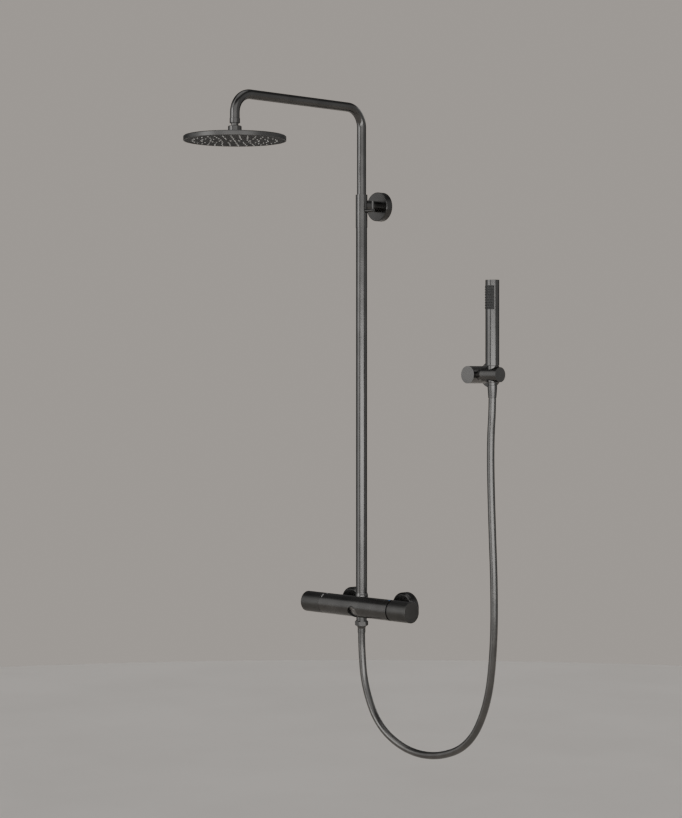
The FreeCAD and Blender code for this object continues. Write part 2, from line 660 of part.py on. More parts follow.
def make_holder_liner():
    low = HOLDER_Z - 20
    high = HOLDER_Z + 20
    outline = [(SEAT_LOW_RADIUS, low), (SEAT_RADIUS - FIT_GAP, low), (SEAT_RADIUS - FIT_GAP, high),
               (SEAT_TOP_RADIUS, high)]
    liner = turned(outline, at(HANDSET_X, HANDSET_Y, 0), UP)
    liner = liner.common(holder_axis(BARREL_RADIUS - 0.1, BARREL_START, BARREL_END))
    return liner.cut(hose_slot())


def make_holder_neck():
    neck = holder_axis(11.5, HOLDER_X + 8, BARREL_START - 0.4)
    post_front = at(HOLDER_X, HOLDER_POST_FRONT - 1, HOLDER_Z)
    post = rod(HOLDER_POST_RADIUS + 0.05, post_front, at(HOLDER_X, 0, HOLDER_Z))
    return neck.cut([post, holder_axis(PIVOT_RADIUS + 0.05, HOLDER_X, BARREL_START)])


holder_post = make_post(HOLDER_X, HOLDER_Z, HOLDER_POST_RADIUS, HOLDER_POST_FRONT, -HOLDER_ROSETTE_DEPTH,
                        SPIGOT_END)
save("holder_post", holder_post.cut(holder_axis(PIVOT_RADIUS + 0.05, HOLDER_X + 9, BARREL_START)))
save("holder_rosette", turned(
    make_rosette_outline(HOLDER_ROSETTE_RADIUS, HOLDER_ROSETTE_DEPTH, 0.8, SPIGOT_RADIUS + FIT_GAP, 1.5),
    at(HOLDER_X, 0, HOLDER_Z), OUT_OF_WALL))
save("holder_wall_plate", make_wall_plate(HOLDER_X, HOLDER_Z, 22.0, HOLDER_SCREW_OFFSET, SPIGOT_END))
save("holder_grub_screw", make_grub_screw(HOLDER_X, HOLDER_Z, HOLDER_POST_RADIUS, -HOLDER_ROSETTE_DEPTH))
save("holder_neck", make_holder_neck())
save("holder_pivot", holder_axis(PIVOT_RADIUS, HOLDER_X + 10, PIVOT_END))
save("holder_barrel", make_holder_barrel())
save("holder_liner", make_holder_liner())

# ---- handset --------------------------------------------------------------------------------------------
HANDSET_WALL = 1.8
HANDSET_CHAMFER = 0.8
PAD_BOTTOM = 603.0
PAD_TOP = 649.0
PAD_HALF_ANGLE = 57.0
PAD_PROUD = 0.5
CONE_SHOULDER = 455.7
CORE_RADIUS = 5.5


def make_hose_cone():
    """Conical hose end that sits in the holder and turns freely on the handset."""
    bore = CORE_RADIUS + FIT_GAP
    top = HANDSET_BOTTOM - 0.3
    outline = [(bore, CONE_SHOULDER), (8.7, CONE_SHOULDER), (8.7, 461.0), (9.3, 461.3),
               (10.3, HANDSET_BOTTOM - 3), (10.3, top), (bore, top)]
    return turned(outline, at(HANDSET_X, HANDSET_Y, 0), UP)


def make_upper_ferrule():
    outline = [(0, UPPER_FERRULE_BOTTOM), (7.9, UPPER_FERRULE_BOTTOM), (9.2, 449.0),
               (9.4, CONE_SHOULDER - 0.05), (0, CONE_SHOULDER - 0.05)]
    return turned(outline, at(HANDSET_X, HANDSET_Y, 0), UP)


def pad_sector(radius, z_low, z_high):
    """Wedge of a cylinder centred on the front of the handset."""
    foot = at(HANDSET_X, HANDSET_Y, z_low)
    sector = Part.makeCylinder(radius, z_high - z_low, foot, UP, 2 * PAD_HALF_ANGLE)
    sector.rotate(foot, UP, 270 - PAD_HALF_ANGLE)
    return sector


def make_handset_body():
    inner = HANDSET_RADIUS - HANDSET_WALL
    bore = CORE_RADIUS + FIT_GAP
    edge = HANDSET_RADIUS - HANDSET_CHAMFER
    roof = HANDSET_TOP - 3
    floor = HANDSET_BOTTOM + 6
    outline = [(bore, HANDSET_BOTTOM), (edge, HANDSET_BOTTOM),
               (HANDSET_RADIUS, HANDSET_BOTTOM + HANDSET_CHAMFER),
               (HANDSET_RADIUS, HANDSET_TOP - HANDSET_CHAMFER), (edge, HANDSET_TOP), (0, HANDSET_TOP),
               (0, roof), (inner, roof), (inner, floor), (bore, floor)]
    body = turned(outline, at(HANDSET_X, HANDSET_Y, 0), UP)
    return body.cut(pad_sector(HANDSET_RADIUS + 2, PAD_BOTTOM, PAD_TOP))


def make_nozzle_pad():
    inner = HANDSET_RADIUS - HANDSET_WALL
    gap = 0.05
    pad = pad_sector(HANDSET_RADIUS + PAD_PROUD, PAD_BOTTOM + gap, PAD_TOP - gap)
    hollow = rod(inner, at(HANDSET_X, HANDSET_Y, PAD_BOTTOM - 1), at(HANDSET_X, HANDSET_Y, PAD_TOP + 1))
    return pad.cut(hollow)


def make_handset_core():
    """Spigot that the hose end turns on, and the water channel behind the nozzles."""
    low = at(HANDSET_X, HANDSET_Y, 462.0)
    collar = at(HANDSET_X, HANDSET_Y, HANDSET_BOTTOM + 6.2)
    high = at(HANDSET_X, HANDSET_Y, HANDSET_TOP - 4)
    core = rod(CORE_RADIUS, low, collar).fuse(rod(9.5, collar, high))
    return core.cut(rod(3.5, low - UP, high - UP * 8))


save("hose_cone", make_hose_cone())
save("hose_ferrule_upper", make_upper_ferrule())
save("handset_core", make_handset_core())
save("handset_body", make_handset_body())
save("nozzle_pad", make_nozzle_pad())
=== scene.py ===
import json
import math
import bmesh
import bpy
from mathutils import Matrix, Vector


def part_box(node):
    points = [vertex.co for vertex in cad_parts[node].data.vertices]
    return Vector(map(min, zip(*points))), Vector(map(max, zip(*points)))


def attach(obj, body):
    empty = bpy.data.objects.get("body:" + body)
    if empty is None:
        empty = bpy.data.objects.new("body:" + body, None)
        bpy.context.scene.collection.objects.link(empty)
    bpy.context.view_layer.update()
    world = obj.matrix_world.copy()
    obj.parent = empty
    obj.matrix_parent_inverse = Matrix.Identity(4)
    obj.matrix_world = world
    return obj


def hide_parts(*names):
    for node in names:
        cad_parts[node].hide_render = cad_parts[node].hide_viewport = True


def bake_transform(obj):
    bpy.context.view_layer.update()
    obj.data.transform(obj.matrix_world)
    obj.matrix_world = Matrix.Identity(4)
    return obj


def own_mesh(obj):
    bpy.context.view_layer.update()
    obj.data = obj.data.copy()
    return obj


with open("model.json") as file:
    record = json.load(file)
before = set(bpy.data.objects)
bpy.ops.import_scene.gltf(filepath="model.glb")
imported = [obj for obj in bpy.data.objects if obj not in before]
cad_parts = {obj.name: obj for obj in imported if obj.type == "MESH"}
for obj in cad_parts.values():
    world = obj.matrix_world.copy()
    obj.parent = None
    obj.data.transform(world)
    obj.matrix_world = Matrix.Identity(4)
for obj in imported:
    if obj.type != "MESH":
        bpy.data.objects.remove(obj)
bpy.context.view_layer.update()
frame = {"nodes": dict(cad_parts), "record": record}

# Wall-mounted rain shower column.  The CAD frame is in metres: +X runs along the wall, +Y into it, +Z up.
# Sizes below are written in millimetres and go through MM.
MM = 0.001
UP = Vector((0, 0, 1))
OUT_OF_WALL = Vector((0, -1, 0))
ALONG_WALL = Vector((1, 0, 0))
# corners round a turned piece, from the widest to the smallest
WIDE = 160
FINE = 128
MEDIUM = 96
BORE = 64
SMALL = 48
PIN = 32
TINY = 10
WELD_DISTANCE = 0.000002
TOUCH_DISTANCE = 1e-6
SMOOTH_ANGLE = math.radians(38)
INLET_ROSETTE_RADIUS = 31.0

# ---- places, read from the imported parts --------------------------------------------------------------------


def middle_mm(node):
    low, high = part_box(node)
    return [(a + b) / 2 / MM for a, b in zip(low, high)]


def low_mm(node, axis):
    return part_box(node)[0][axis] / MM


def high_mm(node, axis):
    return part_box(node)[1][axis] / MM


COLUMN = middle_mm("riser_tube")
COLUMN_Y = COLUMN[1]
RISER_RADIUS = (high_mm("riser_tube", 0) - low_mm("riser_tube", 0)) / 2
BAR_Y = middle_mm("flow_knob")[1]
BAR_RADIUS = (high_mm("flow_knob", 2) - low_mm("flow_knob", 2)) / 2
BAR_BODY_HALF = high_mm("mixer_sleeve", 0)
BAR_HALF = high_mm("temperature_knob", 0)
HEAD_Y = middle_mm("head_cover")[1]
HEAD_RADIUS = (high_mm("head_cover", 0) - low_mm("head_cover", 0)) / 2
HEAD_TOP = high_mm("head_cover", 2)
HEAD_BOTTOM = low_mm("head_cover", 2)
HANDSET_X, HANDSET_Y, _ = middle_mm("handset_body")
HANDSET_RADIUS = (high_mm("handset_body", 0) - low_mm("handset_body", 0)) / 2
HANDSET_BOTTOM = low_mm("handset_body", 2)
HANDSET_TOP = high_mm("handset_body", 2)
HOLDER_X, _, HOLDER_Z = middle_mm("holder_rosette")
BRACKET_Z = middle_mm("bracket_rosette")[2]
INLETS_X = (low_mm("inlet_rosettes", 0) + INLET_ROSETTE_RADIUS,
            high_mm("inlet_rosettes", 0) - INLET_ROSETTE_RADIUS)

# ---- camera ------------------------------------------------------------------------------------------------
CAMERA_PLACE = (2.939, -2.957, 0.470)
CAMERA_TURN = math.radians(46)
CAMERA_LENS = 88.23
CAMERA_SHIFT = -0.0379

bpy.ops.object.select_all(action="DESELECT")
bpy.ops.object.camera_add(location=CAMERA_PLACE, rotation=(math.pi / 2, 0, CAMERA_TURN))
camera = bpy.context.object
camera.name = "camera"
camera.data.lens = CAMERA_LENS
camera.data.sensor_width = 36
camera.data.shift_y = CAMERA_SHIFT
camera.data.clip_end = 60
bpy.context.scene.camera = camera

# ---- finishes ----------------------------------------------------------------------------------------------


def new_finish(name):
    """A new node material, its node tree and its shader."""
    material = bpy.data.materials.new(name)
    material.use_nodes = True
    return material, material.node_tree, material.node_tree.nodes["Principled BSDF"]


def arithmetic(tree, operation, *values):
    """One step of arithmetic on numbers and other nodes' results."""
    node = tree.nodes.new("ShaderNodeMath")
    node.operation = operation
    for socket, value in zip(node.inputs, values):
        if isinstance(value, (int, float)):
            socket.default_value = value
        else:
            tree.links.new(value, socket)
    return node.outputs["Value"]


def noise_on_object(tree, scale, detail, stretch=(1, 1, 1)):
    """Noise on object coordinates, stretched along the grain."""
    coordinates = tree.nodes.new("ShaderNodeTexCoord")
    mapping = tree.nodes.new("ShaderNodeMapping")
    mapping.inputs["Scale"].default_value = stretch
    noise = tree.nodes.new("ShaderNodeTexNoise")
    noise.inputs["Scale"].default_value = scale
    noise.inputs["Detail"].default_value = detail
    tree.links.new(coordinates.outputs["Object"], mapping.inputs["Vector"])
    tree.links.new(mapping.outputs["Vector"], noise.inputs["Vector"])
    return noise.outputs["Fac"]


def blend_colours(tree, factor, first, second, low=0.35, high=0.65):
    """Run from the first colour to the second while the factor goes from low to high."""
    ramp = tree.nodes.new("ShaderNodeValToRGB")
    ramp.color_ramp.elements[0].position = low
    ramp.color_ramp.elements[0].color = (*first, 1)
    ramp.color_ramp.elements[1].position = high
    ramp.color_ramp.elements[1].color = (*second, 1)
    tree.links.new(factor, ramp.inputs["Fac"])
    return ramp.outputs["Color"]


def spread(tree, factor, low, high, start=0.3, end=0.7):
    """Run from low to high while the factor goes from start to end."""
    ranged = tree.nodes.new("ShaderNodeMapRange")
    ranged.inputs["From Min"].default_value = start
    ranged.inputs["From Max"].default_value = end
    ranged.inputs["To Min"].default_value = low
    ranged.inputs["To Max"].default_value = high
    tree.links.new(factor, ranged.inputs["Value"])
    return ranged.outputs["Result"]


def add_bump(tree, shader, height, strength, distance):
    bump = tree.nodes.new("ShaderNodeBump")
    bump.inputs["Strength"].default_value = strength
    bump.inputs["Distance"].default_value = distance
    tree.links.new(height, bump.inputs["Height"])
    tree.links.new(bump.outputs["Normal"], shader.inputs["Normal"])


def satin_metal(name, dark, light, gloss, grain, bump=0.012):
    """Coated metal: fine brushing along the grain, cloudy gloss and a faint drift of colour."""
    material, tree, shader = new_finish(name)
    shader.inputs["Metallic"].default_value = 1.0
    brushing = noise_on_object(tree, 1.0, 4.0, grain)
    cloud = noise_on_object(tree, 22.0, 3.0)
    faint_brushing = spread(tree, brushing, 0.0, 0.2, 0.0, 1.0)
    drift = arithmetic(tree, "MULTIPLY_ADD", cloud, 0.8, faint_brushing)
    tree.links.new(blend_colours(tree, drift, dark, light), shader.inputs["Base Color"])
    tree.links.new(spread(tree, cloud, *gloss), shader.inputs["Roughness"])
    add_bump(tree, shader, brushing, bump, 0.0001)
    return material


def moulded(name, dark, light, gloss, grain_scale, bump):
    """Moulded plastic or rubber with a fine grain."""
    material, tree, shader = new_finish(name)
    cloud = noise_on_object(tree, 60.0, 3.0)
    fine = noise_on_object(tree, grain_scale, 2.0)
    tree.links.new(blend_colours(tree, cloud, dark, light), shader.inputs["Base Color"])
    tree.links.new(spread(tree, cloud, *gloss), shader.inputs["Roughness"])
    add_bump(tree, shader, fine, bump, 0.0002)
    return material


def hose_skin(name):
    """Smooth hose: a fine wound layer under a satin skin, from the hose's own wrap attribute."""
    material, tree, shader = new_finish(name)
    shader.inputs["Metallic"].default_value = 0.85
    shader.inputs["Coat Weight"].default_value = 0.25
    shader.inputs["Coat Roughness"].default_value = 0.25
    wrap = tree.nodes.new("ShaderNodeAttribute")
    wrap.attribute_name = "wrap"
    parts = tree.nodes.new("ShaderNodeSeparateXYZ")
    tree.links.new(wrap.outputs["Vector"], parts.inputs["Vector"])
    turns = arithmetic(tree, "MULTIPLY", parts.outputs["Z"], 2 * math.pi / WINDING_PITCH)
    first = arithmetic(tree, "MULTIPLY", arithmetic(tree, "SINE", turns), parts.outputs["X"])
    second = arithmetic(tree, "MULTIPLY", arithmetic(tree, "COSINE", turns), parts.outputs["Y"])
    wound = arithmetic(tree, "ADD", first, second)
    cloud = noise_on_object(tree, 40.0, 3.0)
    tone = arithmetic(tree, "MULTIPLY_ADD", wound, 0.12, cloud)
    tree.links.new(blend_colours(tree, tone, HOSE_DARK, HOSE_LIGHT), shader.inputs["Base Color"])
    tree.links.new(spread(tree, cloud, 0.19, 0.25), shader.inputs["Roughness"])
    add_bump(tree, shader, wound, 0.05, 0.0001)
    return material


GUNMETAL_DARK = (0.112, 0.110, 0.107)
GUNMETAL_LIGHT = (0.142, 0.139, 0.135)
HOSE_DARK = (0.115, 0.112, 0.108)
HOSE_LIGHT = (0.150, 0.146, 0.140)
WINDING_PITCH = 0.0024
SATIN = (0.24, 0.29)
MATT = (0.34, 0.42)
DULL = (0.40, 0.50)
# stretch of the brushing: along an axis, or in rings around it
ALONG_X = (30, 2600, 2600)
ALONG_Z = (2600, 2600, 30)
AROUND_X = (2600, 60, 60)
AROUND_Y = (60, 2600, 60)
AROUND_Z = (60, 60, 2600)
NO_GRAIN = (300, 300, 300)

bar_metal = satin_metal("bar_metal", GUNMETAL_DARK, GUNMETAL_LIGHT, SATIN, ALONG_X)
tube_metal = satin_metal("tube_metal", GUNMETAL_DARK, GUNMETAL_LIGHT, (0.16, 0.21), ALONG_Z)
turned_metal = satin_metal("turned_metal", GUNMETAL_DARK, GUNMETAL_LIGHT, (0.19, 0.24), AROUND_Z)
head_metal = satin_metal("head_metal", GUNMETAL_DARK, GUNMETAL_LIGHT, MATT, AROUND_Z)
# The holder post's gunmetal painted lighter than the rest: a painted highlight for the brightly lit post face.
lit_post_metal = satin_metal("lit_post_metal", (0.165, 0.162, 0.157), (0.200, 0.196, 0.190), SATIN, AROUND_Y)
# The rosettes' gunmetal painted darker than the rest: painted shade for the wall rosettes and bracket rosettes.
shaded_rosette_metal = satin_metal("shaded_rosette_metal", (0.084, 0.082, 0.080), (0.104, 0.102, 0.099), (0.20, 0.26),
                            AROUND_Y)
# The button's knob metal painted much lighter: a painted highlight on the disc that sits deep in its well.
lit_button_metal = satin_metal("lit_button_metal", (0.230, 0.226, 0.220), (0.280, 0.275, 0.268), (0.28, 0.34),
                           AROUND_Y)
knob_metal = satin_metal("knob_metal", (0.088, 0.086, 0.083), (0.110, 0.108, 0.104), MATT, AROUND_X)
# The face plate's gunmetal painted nearly black: painted shade on the underside of the rain head.
shaded_plate_metal = satin_metal("shaded_plate_metal", (0.020, 0.0195, 0.019), (0.027, 0.0265, 0.026), (0.40, 0.48), NO_GRAIN)
brass = satin_metal("raw_brass", (0.60, 0.42, 0.20), (0.72, 0.53, 0.28), (0.30, 0.42), AROUND_X)
steel = satin_metal("bright_steel", (0.50, 0.50, 0.49), (0.62, 0.62, 0.61), (0.22, 0.34), AROUND_Z)
black_plastic = moulded("black_plastic", (0.014, 0.014, 0.014), (0.022, 0.022, 0.022), (0.42, 0.52), 1500,
                        0.10)
white_plastic = moulded("white_plastic", (0.70, 0.69, 0.66), (0.78, 0.77, 0.74), (0.38, 0.46), 1200, 0.08)
pale_silicone = moulded("pale_silicone", (0.70, 0.70, 0.68), (0.80, 0.80, 0.78), (0.48, 0.58), 2000, 0.10)
dark_rubber = moulded("dark_rubber", (0.034, 0.034, 0.033), (0.048, 0.048, 0.047), (0.50, 0.62), 1800, 0.15)
mark_white = moulded("mark_white", (0.80, 0.80, 0.78), (0.90, 0.90, 0.88), DULL, 1500, 0.05)
mark_blue = moulded("mark_blue", (0.045, 0.150, 0.330), (0.060, 0.190, 0.400), DULL, 1500, 0.05)
hose_finish = hose_skin("hose_skin")

# ---- modelling helpers -------------------------------------------------------------------------------------


def metres(*values):
    return Vector(values) * MM


def let_go():
    bpy.ops.object.select_all(action="DESELECT")


def take(piece):
    """Select this piece alone and make it the one in hand."""
    let_go()
    piece.select_set(True)
    bpy.context.view_layer.objects.active = piece


def place_in_mesh():
    """Leave the piece's place, turn and size in its mesh."""
    bpy.ops.object.transform_apply(location=True, rotation=True, scale=True)


def open_whole():
    """Go into edit mode with all of the piece selected."""
    bpy.ops.object.mode_set(mode="EDIT")
    bpy.ops.mesh.select_all(action="SELECT")


def keep(name):
    """Leave edit mode and name the piece in hand."""
    bpy.ops.object.mode_set(mode="OBJECT")
    piece = bpy.context.object
    piece.name = name
    piece.data.name = name
    return piece


def close_up():
    """Weld the seams and turn the faces outwards."""
    bpy.ops.mesh.select_all(action="SELECT")
    bpy.ops.mesh.remove_doubles(threshold=WELD_DISTANCE)
    bpy.ops.mesh.normals_make_consistent(inside=False)


def pick(test):
    """Select, in edit mode, the corners whose place passes the test."""
    bpy.ops.mesh.select_mode(type="VERT")
    bpy.ops.mesh.select_all(action="DESELECT")
    mesh = bpy.context.object.data
    shape = bmesh.from_edit_mesh(mesh)
    for corner in shape.verts:
        corner.select = test(corner.co)
    shape.select_flush(True)
    bmesh.update_edit_mesh(mesh)


def pull_ring(start, end):
    """Extrude the selected ring from one (radius, height) to the next; radius 0 closes it to a point."""
    bpy.ops.mesh.extrude_region_move(TRANSFORM_OT_translate={"value": (0, 0, (end[1] - start[1]) * MM)})
    if end[0] == 0:
        bpy.ops.mesh.merge(type="CENTER")
        return
    ratio = end[0] / start[0]
    bpy.ops.transform.resize(value=(ratio, ratio, 1), center_override=(0, 0, end[1] * MM))


def settle(piece, base=(0, 0, 0), direction=UP):
    """Turn the piece's own +Z to the direction, move it to its base and leave the place in its mesh."""
    take(piece)
    place_in_mesh()
    piece.rotation_euler = UP.rotation_difference(Vector(direction)).to_euler()
    piece.location = metres(*base)
    place_in_mesh()
    return piece


def turned(name, outline, base=(0, 0, 0), direction=UP, corners=MEDIUM):
    """Turned piece: one ring pulled from corner to corner of the (radius, height) outline."""
    rings = [corner for corner in outline if corner[0] > 0]
    let_go()
    bpy.ops.mesh.primitive_circle_add(vertices=corners, radius=rings[0][0] * MM, location=(0, 0, 0))
    open_whole()
    bpy.ops.transform.translate(value=(0, 0, rings[0][1] * MM))
    for start, end in zip(rings, rings[1:]):
        pull_ring(start, end)
    if outline[-1][0] == 0:
        pull_ring(rings[-1], outline[-1])
    if outline[0][0] == 0:
        first = rings[0]
        pick(lambda place: abs(place.z - first[1] * MM) < TOUCH_DISTANCE and
             abs(place.xy.length - first[0] * MM) < TOUCH_DISTANCE)
        pull_ring(first, outline[0])
    close_up()
    return settle(keep(name), base, direction)


def rod(name, radius, start, end, corners=MEDIUM):
    """Closed round bar between two points, ready to be bevelled or used as a cutter."""
    run = Vector(end) - Vector(start)
    outline = [(0, 0), (radius, 0), (radius, run.length), (0, run.length)]
    return turned(name, outline, start, run.normalized(), corners)


def use_modifier(piece, kind, **settings):
    """Give the piece a modifier and apply it."""
    take(piece)
    modifier = piece.modifiers.new(kind.lower(), kind)
    for setting, value in settings.items():
        setattr(modifier, setting, value)
    bpy.ops.object.modifier_apply(modifier=modifier.name)


def combine(piece, others, operation):
    """Boolean with each of the others, which are used up."""
    for other in others:
        use_modifier(piece, "BOOLEAN", operation=operation, object=other, solver="EXACT")
        bpy.data.objects.remove(other)
    return piece


def cut(piece, cutters):
    return combine(piece, cutters, "DIFFERENCE")


def join(name, pieces):
    """Make the pieces one mesh, under the first one's new name."""
    let_go()
    for piece in pieces:
        piece.select_set(True)
    bpy.context.view_layer.objects.active = pieces[0]
    bpy.ops.object.join()
    pieces[0].name = name
    pieces[0].data.name = name
    return pieces[0]


def copy_to(piece, shift):
    """A copy with its own mesh, moved inside the mesh."""
    take(piece)
    bpy.ops.object.duplicate(linked=False)
    twin = bpy.context.object
    twin.location = shift
    place_in_mesh()
    return twin


def soften(piece, edge, steps=3, limit=30):
    """Round the sharp edges, then smooth the shading with the large faces kept flat."""
    if edge:
        use_modifier(piece, "BEVEL", width=edge * MM, segments=steps, limit_method="ANGLE",
                     angle_limit=math.radians(limit), use_clamp_overlap=True)
    take(piece)
    bpy.ops.object.shade_smooth_by_angle(angle=SMOOTH_ANGLE)
    use_modifier(piece, "WEIGHTED_NORMAL", keep_sharp=True, weight=60)
    return piece


def fit(piece, body, finish, slot, *nodes):
    """Give the piece its finish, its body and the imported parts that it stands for."""
    piece.data.materials.clear()
    piece.data.materials.append(finish)
    if body:
        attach(piece, body)
    if nodes:
        piece.name = nodes[0] + "_finished"
        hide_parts(*nodes)
    return piece


# ---- hose --------------------------------------------------------------------------------------------------
HOSE_RADIUS = 7.4
HOSE_EXIT_Z = -54.0
HOSE_TOP_Z = 430.0
TAIL_LENGTH = 46.0             # stretch that turns with the holder, below the ferrule
FERRULE_BOTTOM = 431.0
HOSE_ROUTE = [
    (0.0, -60.0, HOSE_EXIT_Z),
    (0.2, -60.0, -92.0),
    (9.0, -59.6, -166.0),
    (47.0, -58.2, -241.0),
    (122.0, -56.0, -281.5),
    (208.0, -53.6, -284.5),
    (292.0, -51.4, -250.0),
    (339.0, -50.4, -166.0),
    (354.5, -50.0, -56.0),
    (355.5, -50.0, 62.0),
    (350.0, -50.0, 178.0),
    (346.0, -50.0, 290.0),
    (346.4, -50.0, 358.0),
    (350.0, -50.0, 400.0),
    (350.5, -50.0, HOSE_TOP_Z),
]


def tube_mesh(line, name, radius):
    """Give the curve its round section and make it a closed mesh."""
    line.data.bevel_depth = radius * MM
    line.data.bevel_resolution = 8
    line.data.use_fill_caps = True
    take(line)
    bpy.ops.object.convert(target="MESH")
    bpy.ops.object.mode_set(mode="EDIT")
    close_up()
    tube = keep(name)
    bpy.ops.object.shade_smooth_by_angle(angle=SMOOTH_ANGLE)
    return tube


def tube_along(name, places, radius):
    """Tube whose centre line runs through the places."""
    line = bpy.data.curves.new(name, "CURVE")
    line.dimensions = "3D"
    spline = line.splines.new("POLY")
    spline.points.add(len(places) - 1)
    for point, place in zip(spline.points, places):
        point.co = (*place, 1)
    holder = bpy.data.objects.new(name, line)
    bpy.context.collection.objects.link(holder)
    return tube_mesh(holder, name, radius)


def make_hose():
    """Tube along one smooth curve, with its wrap (cosine, sine, length) stored for the finish."""
    line = bpy.data.curves.new("hose_line", "CURVE")
    line.dimensions = "3D"
    line.resolution_u = 14
    spline = line.splines.new("NURBS")
    spline.points.add(len(HOSE_ROUTE) - 1)
    for point, place in zip(spline.points, HOSE_ROUTE):
        point.co = (*metres(*place), 1)
    spline.order_u = 3
    spline.use_endpoint_u = True
    holder = bpy.data.objects.new("hose_line", line)
    bpy.context.collection.objects.link(holder)
    bpy.context.view_layer.update()
    path = [vertex.co.copy() for vertex in bpy.data.meshes.new_from_object(holder).vertices]
    hose = tube_mesh(holder, "hose_tube", HOSE_RADIUS)
    store_wrap(hose, path)
    return hose, path


def store_wrap(hose, path):
    """Where each corner lies round the hose and along it."""
    lengths = [0.0]
    for before, after in zip(path, path[1:]):
        lengths.append(lengths[-1] + (after - before).length)
    wrap = hose.data.attributes.new("wrap", "FLOAT_VECTOR", "POINT")
    for index, vertex in enumerate(hose.data.vertices):
        nearest = min(range(len(path)), key=lambda step: (path[step] - vertex.co).length_squared)
        before = path[max(nearest - 1, 0)]
        after = path[min(nearest + 1, len(path) - 1)]
        tangent = (after - before).normalized()
        side = tangent.cross(OUT_OF_WALL).normalized()
        spoke = vertex.co - path[nearest]
        angle = math.atan2(spoke.dot(OUT_OF_WALL), spoke.dot(side))
        along = lengths[nearest] + spoke.dot(tangent)
        wrap.data[index].vector = (math.cos(angle), math.sin(angle), along)


hose, hose_path = make_hose()
fit(hose, None, hose_finish, "hose_skin", "hose")
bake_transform(hose)

# ---- thermostat bar ----------------------------------------------------------------------------------------
BAR = (0, BAR_Y, 0)
BAR_SHELL = 2.8
BUTTON_TILT = math.radians(30)
BUTTON_AXIS = Vector((0, -math.cos(BUTTON_TILT), -math.sin(BUTTON_TILT)))
WELL_RADIUS = 12.5
BUTTON_RADIUS = 11.9
BUTTON_BACK = 14.3
BUTTON_FRONT = 16.3
PORT_RADIUS = 9.5
INLET_PORT_RADIUS = 13.1
CUT_OVERRUN = 6                # how far a cutter stands past the bar
SPRING_START = 9.2
SPRING_RISE = 4.5
SPRING_RADIUS = 8.0
SPRING_TAPER = 1.3
SPRING_WIRE = 0.4
SPRING_TURNS = 2.5
SPRING_STEPS = 60
MARK_HEIGHT = 0.06
MARK_THICKNESS = 0.0003


def on_button_axis(distance):
    return Vector(BAR) + BUTTON_AXIS * distance


def make_bar():
    """Outer sleeve of the bar, open at the button well, the two outlets and the inlets."""
    inner = BAR_RADIUS - BAR_SHELL
    half = BAR_BODY_HALF
    outline = [(inner, -half), (BAR_RADIUS, -half), (BAR_RADIUS, half), (inner, half), (inner, -half)]
    bar = turned("mixer_bar", outline, BAR, ALONG_WALL, FINE)
    past = BAR_RADIUS + CUT_OVERRUN
    cutters = [rod("well", WELL_RADIUS, on_button_axis(5), on_button_axis(past), BORE)]
    cutters.append(rod("port", PORT_RADIUS, (0, COLUMN_Y, 4), (0, COLUMN_Y, past), SMALL))
    cutters.append(rod("port", PORT_RADIUS, (0, COLUMN_Y, -past), (0, COLUMN_Y, -4), SMALL))
    for inlet_x in INLETS_X:
        cutters.append(rod("port", INLET_PORT_RADIUS, (inlet_x, BAR_Y + 5, 0), (inlet_x, -38, 0), SMALL))
    return soften(cut(bar, cutters), 0.35)


def make_knob(name, side, start):
    """Cup-shaped knob with a small round at its end face."""
    wall = 2.2
    inner = BAR_RADIUS - wall
    floor = BAR_HALF - wall
    hub_bore = 15.6
    hub_end = BAR_HALF - wall - 18
    outline = [(0, BAR_HALF), (BAR_RADIUS, BAR_HALF), (BAR_RADIUS, start), (inner, start),
               (inner, hub_end), (hub_bore, hub_end), (hub_bore, floor), (0, floor)]
    return soften(turned(name, outline, BAR, ALONG_WALL * side, FINE), 0.9, 4)


def make_well_lining():
    """Inner wall and floor of the button well, behind the bar's shell."""
    outer = WELL_RADIUS + 0.4
    inner = WELL_RADIUS - 0.05
    outline = [(12.0, 11.0), (outer, 11.0), (outer, 18.9), (inner, 18.9), (inner, 13.0), (12.0, 13.0),
               (12.0, 11.0)]
    return soften(turned("well_lining", outline, BAR, BUTTON_AXIS, BORE), 0)


def make_button():
    """Push button with a shallow ring turned into its face."""
    face = BUTTON_FRONT
    groove = face - 0.25
    outline = [(0, 5.0), (4.8, 5.0), (4.8, BUTTON_BACK), (BUTTON_RADIUS, BUTTON_BACK), (BUTTON_RADIUS, face),
               (5.0, face), (4.7, groove), (4.2, groove), (3.9, face), (1.5, face), (1.3, groove), (0, groove)]
    return soften(turned("shower_button", outline, BAR, BUTTON_AXIS, BORE), 0.4, 3, 40)


def make_coil():
    """Small conical spring between the guide and the button."""
    across = BUTTON_AXIS.cross(ALONG_WALL)
    places = []
    for step in range(SPRING_STEPS + 1):
        share = step / SPRING_STEPS
        angle = 2 * math.pi * SPRING_TURNS * share
        radius = (SPRING_RADIUS - SPRING_TAPER * share) * MM
        middle = metres(*BAR) + BUTTON_AXIS * (SPRING_START + SPRING_RISE * share) * MM
        places.append(middle + (ALONG_WALL * math.cos(angle) + across * math.sin(angle)) * radius)
    return tube_along("diverter_coil", places, SPRING_WIRE)


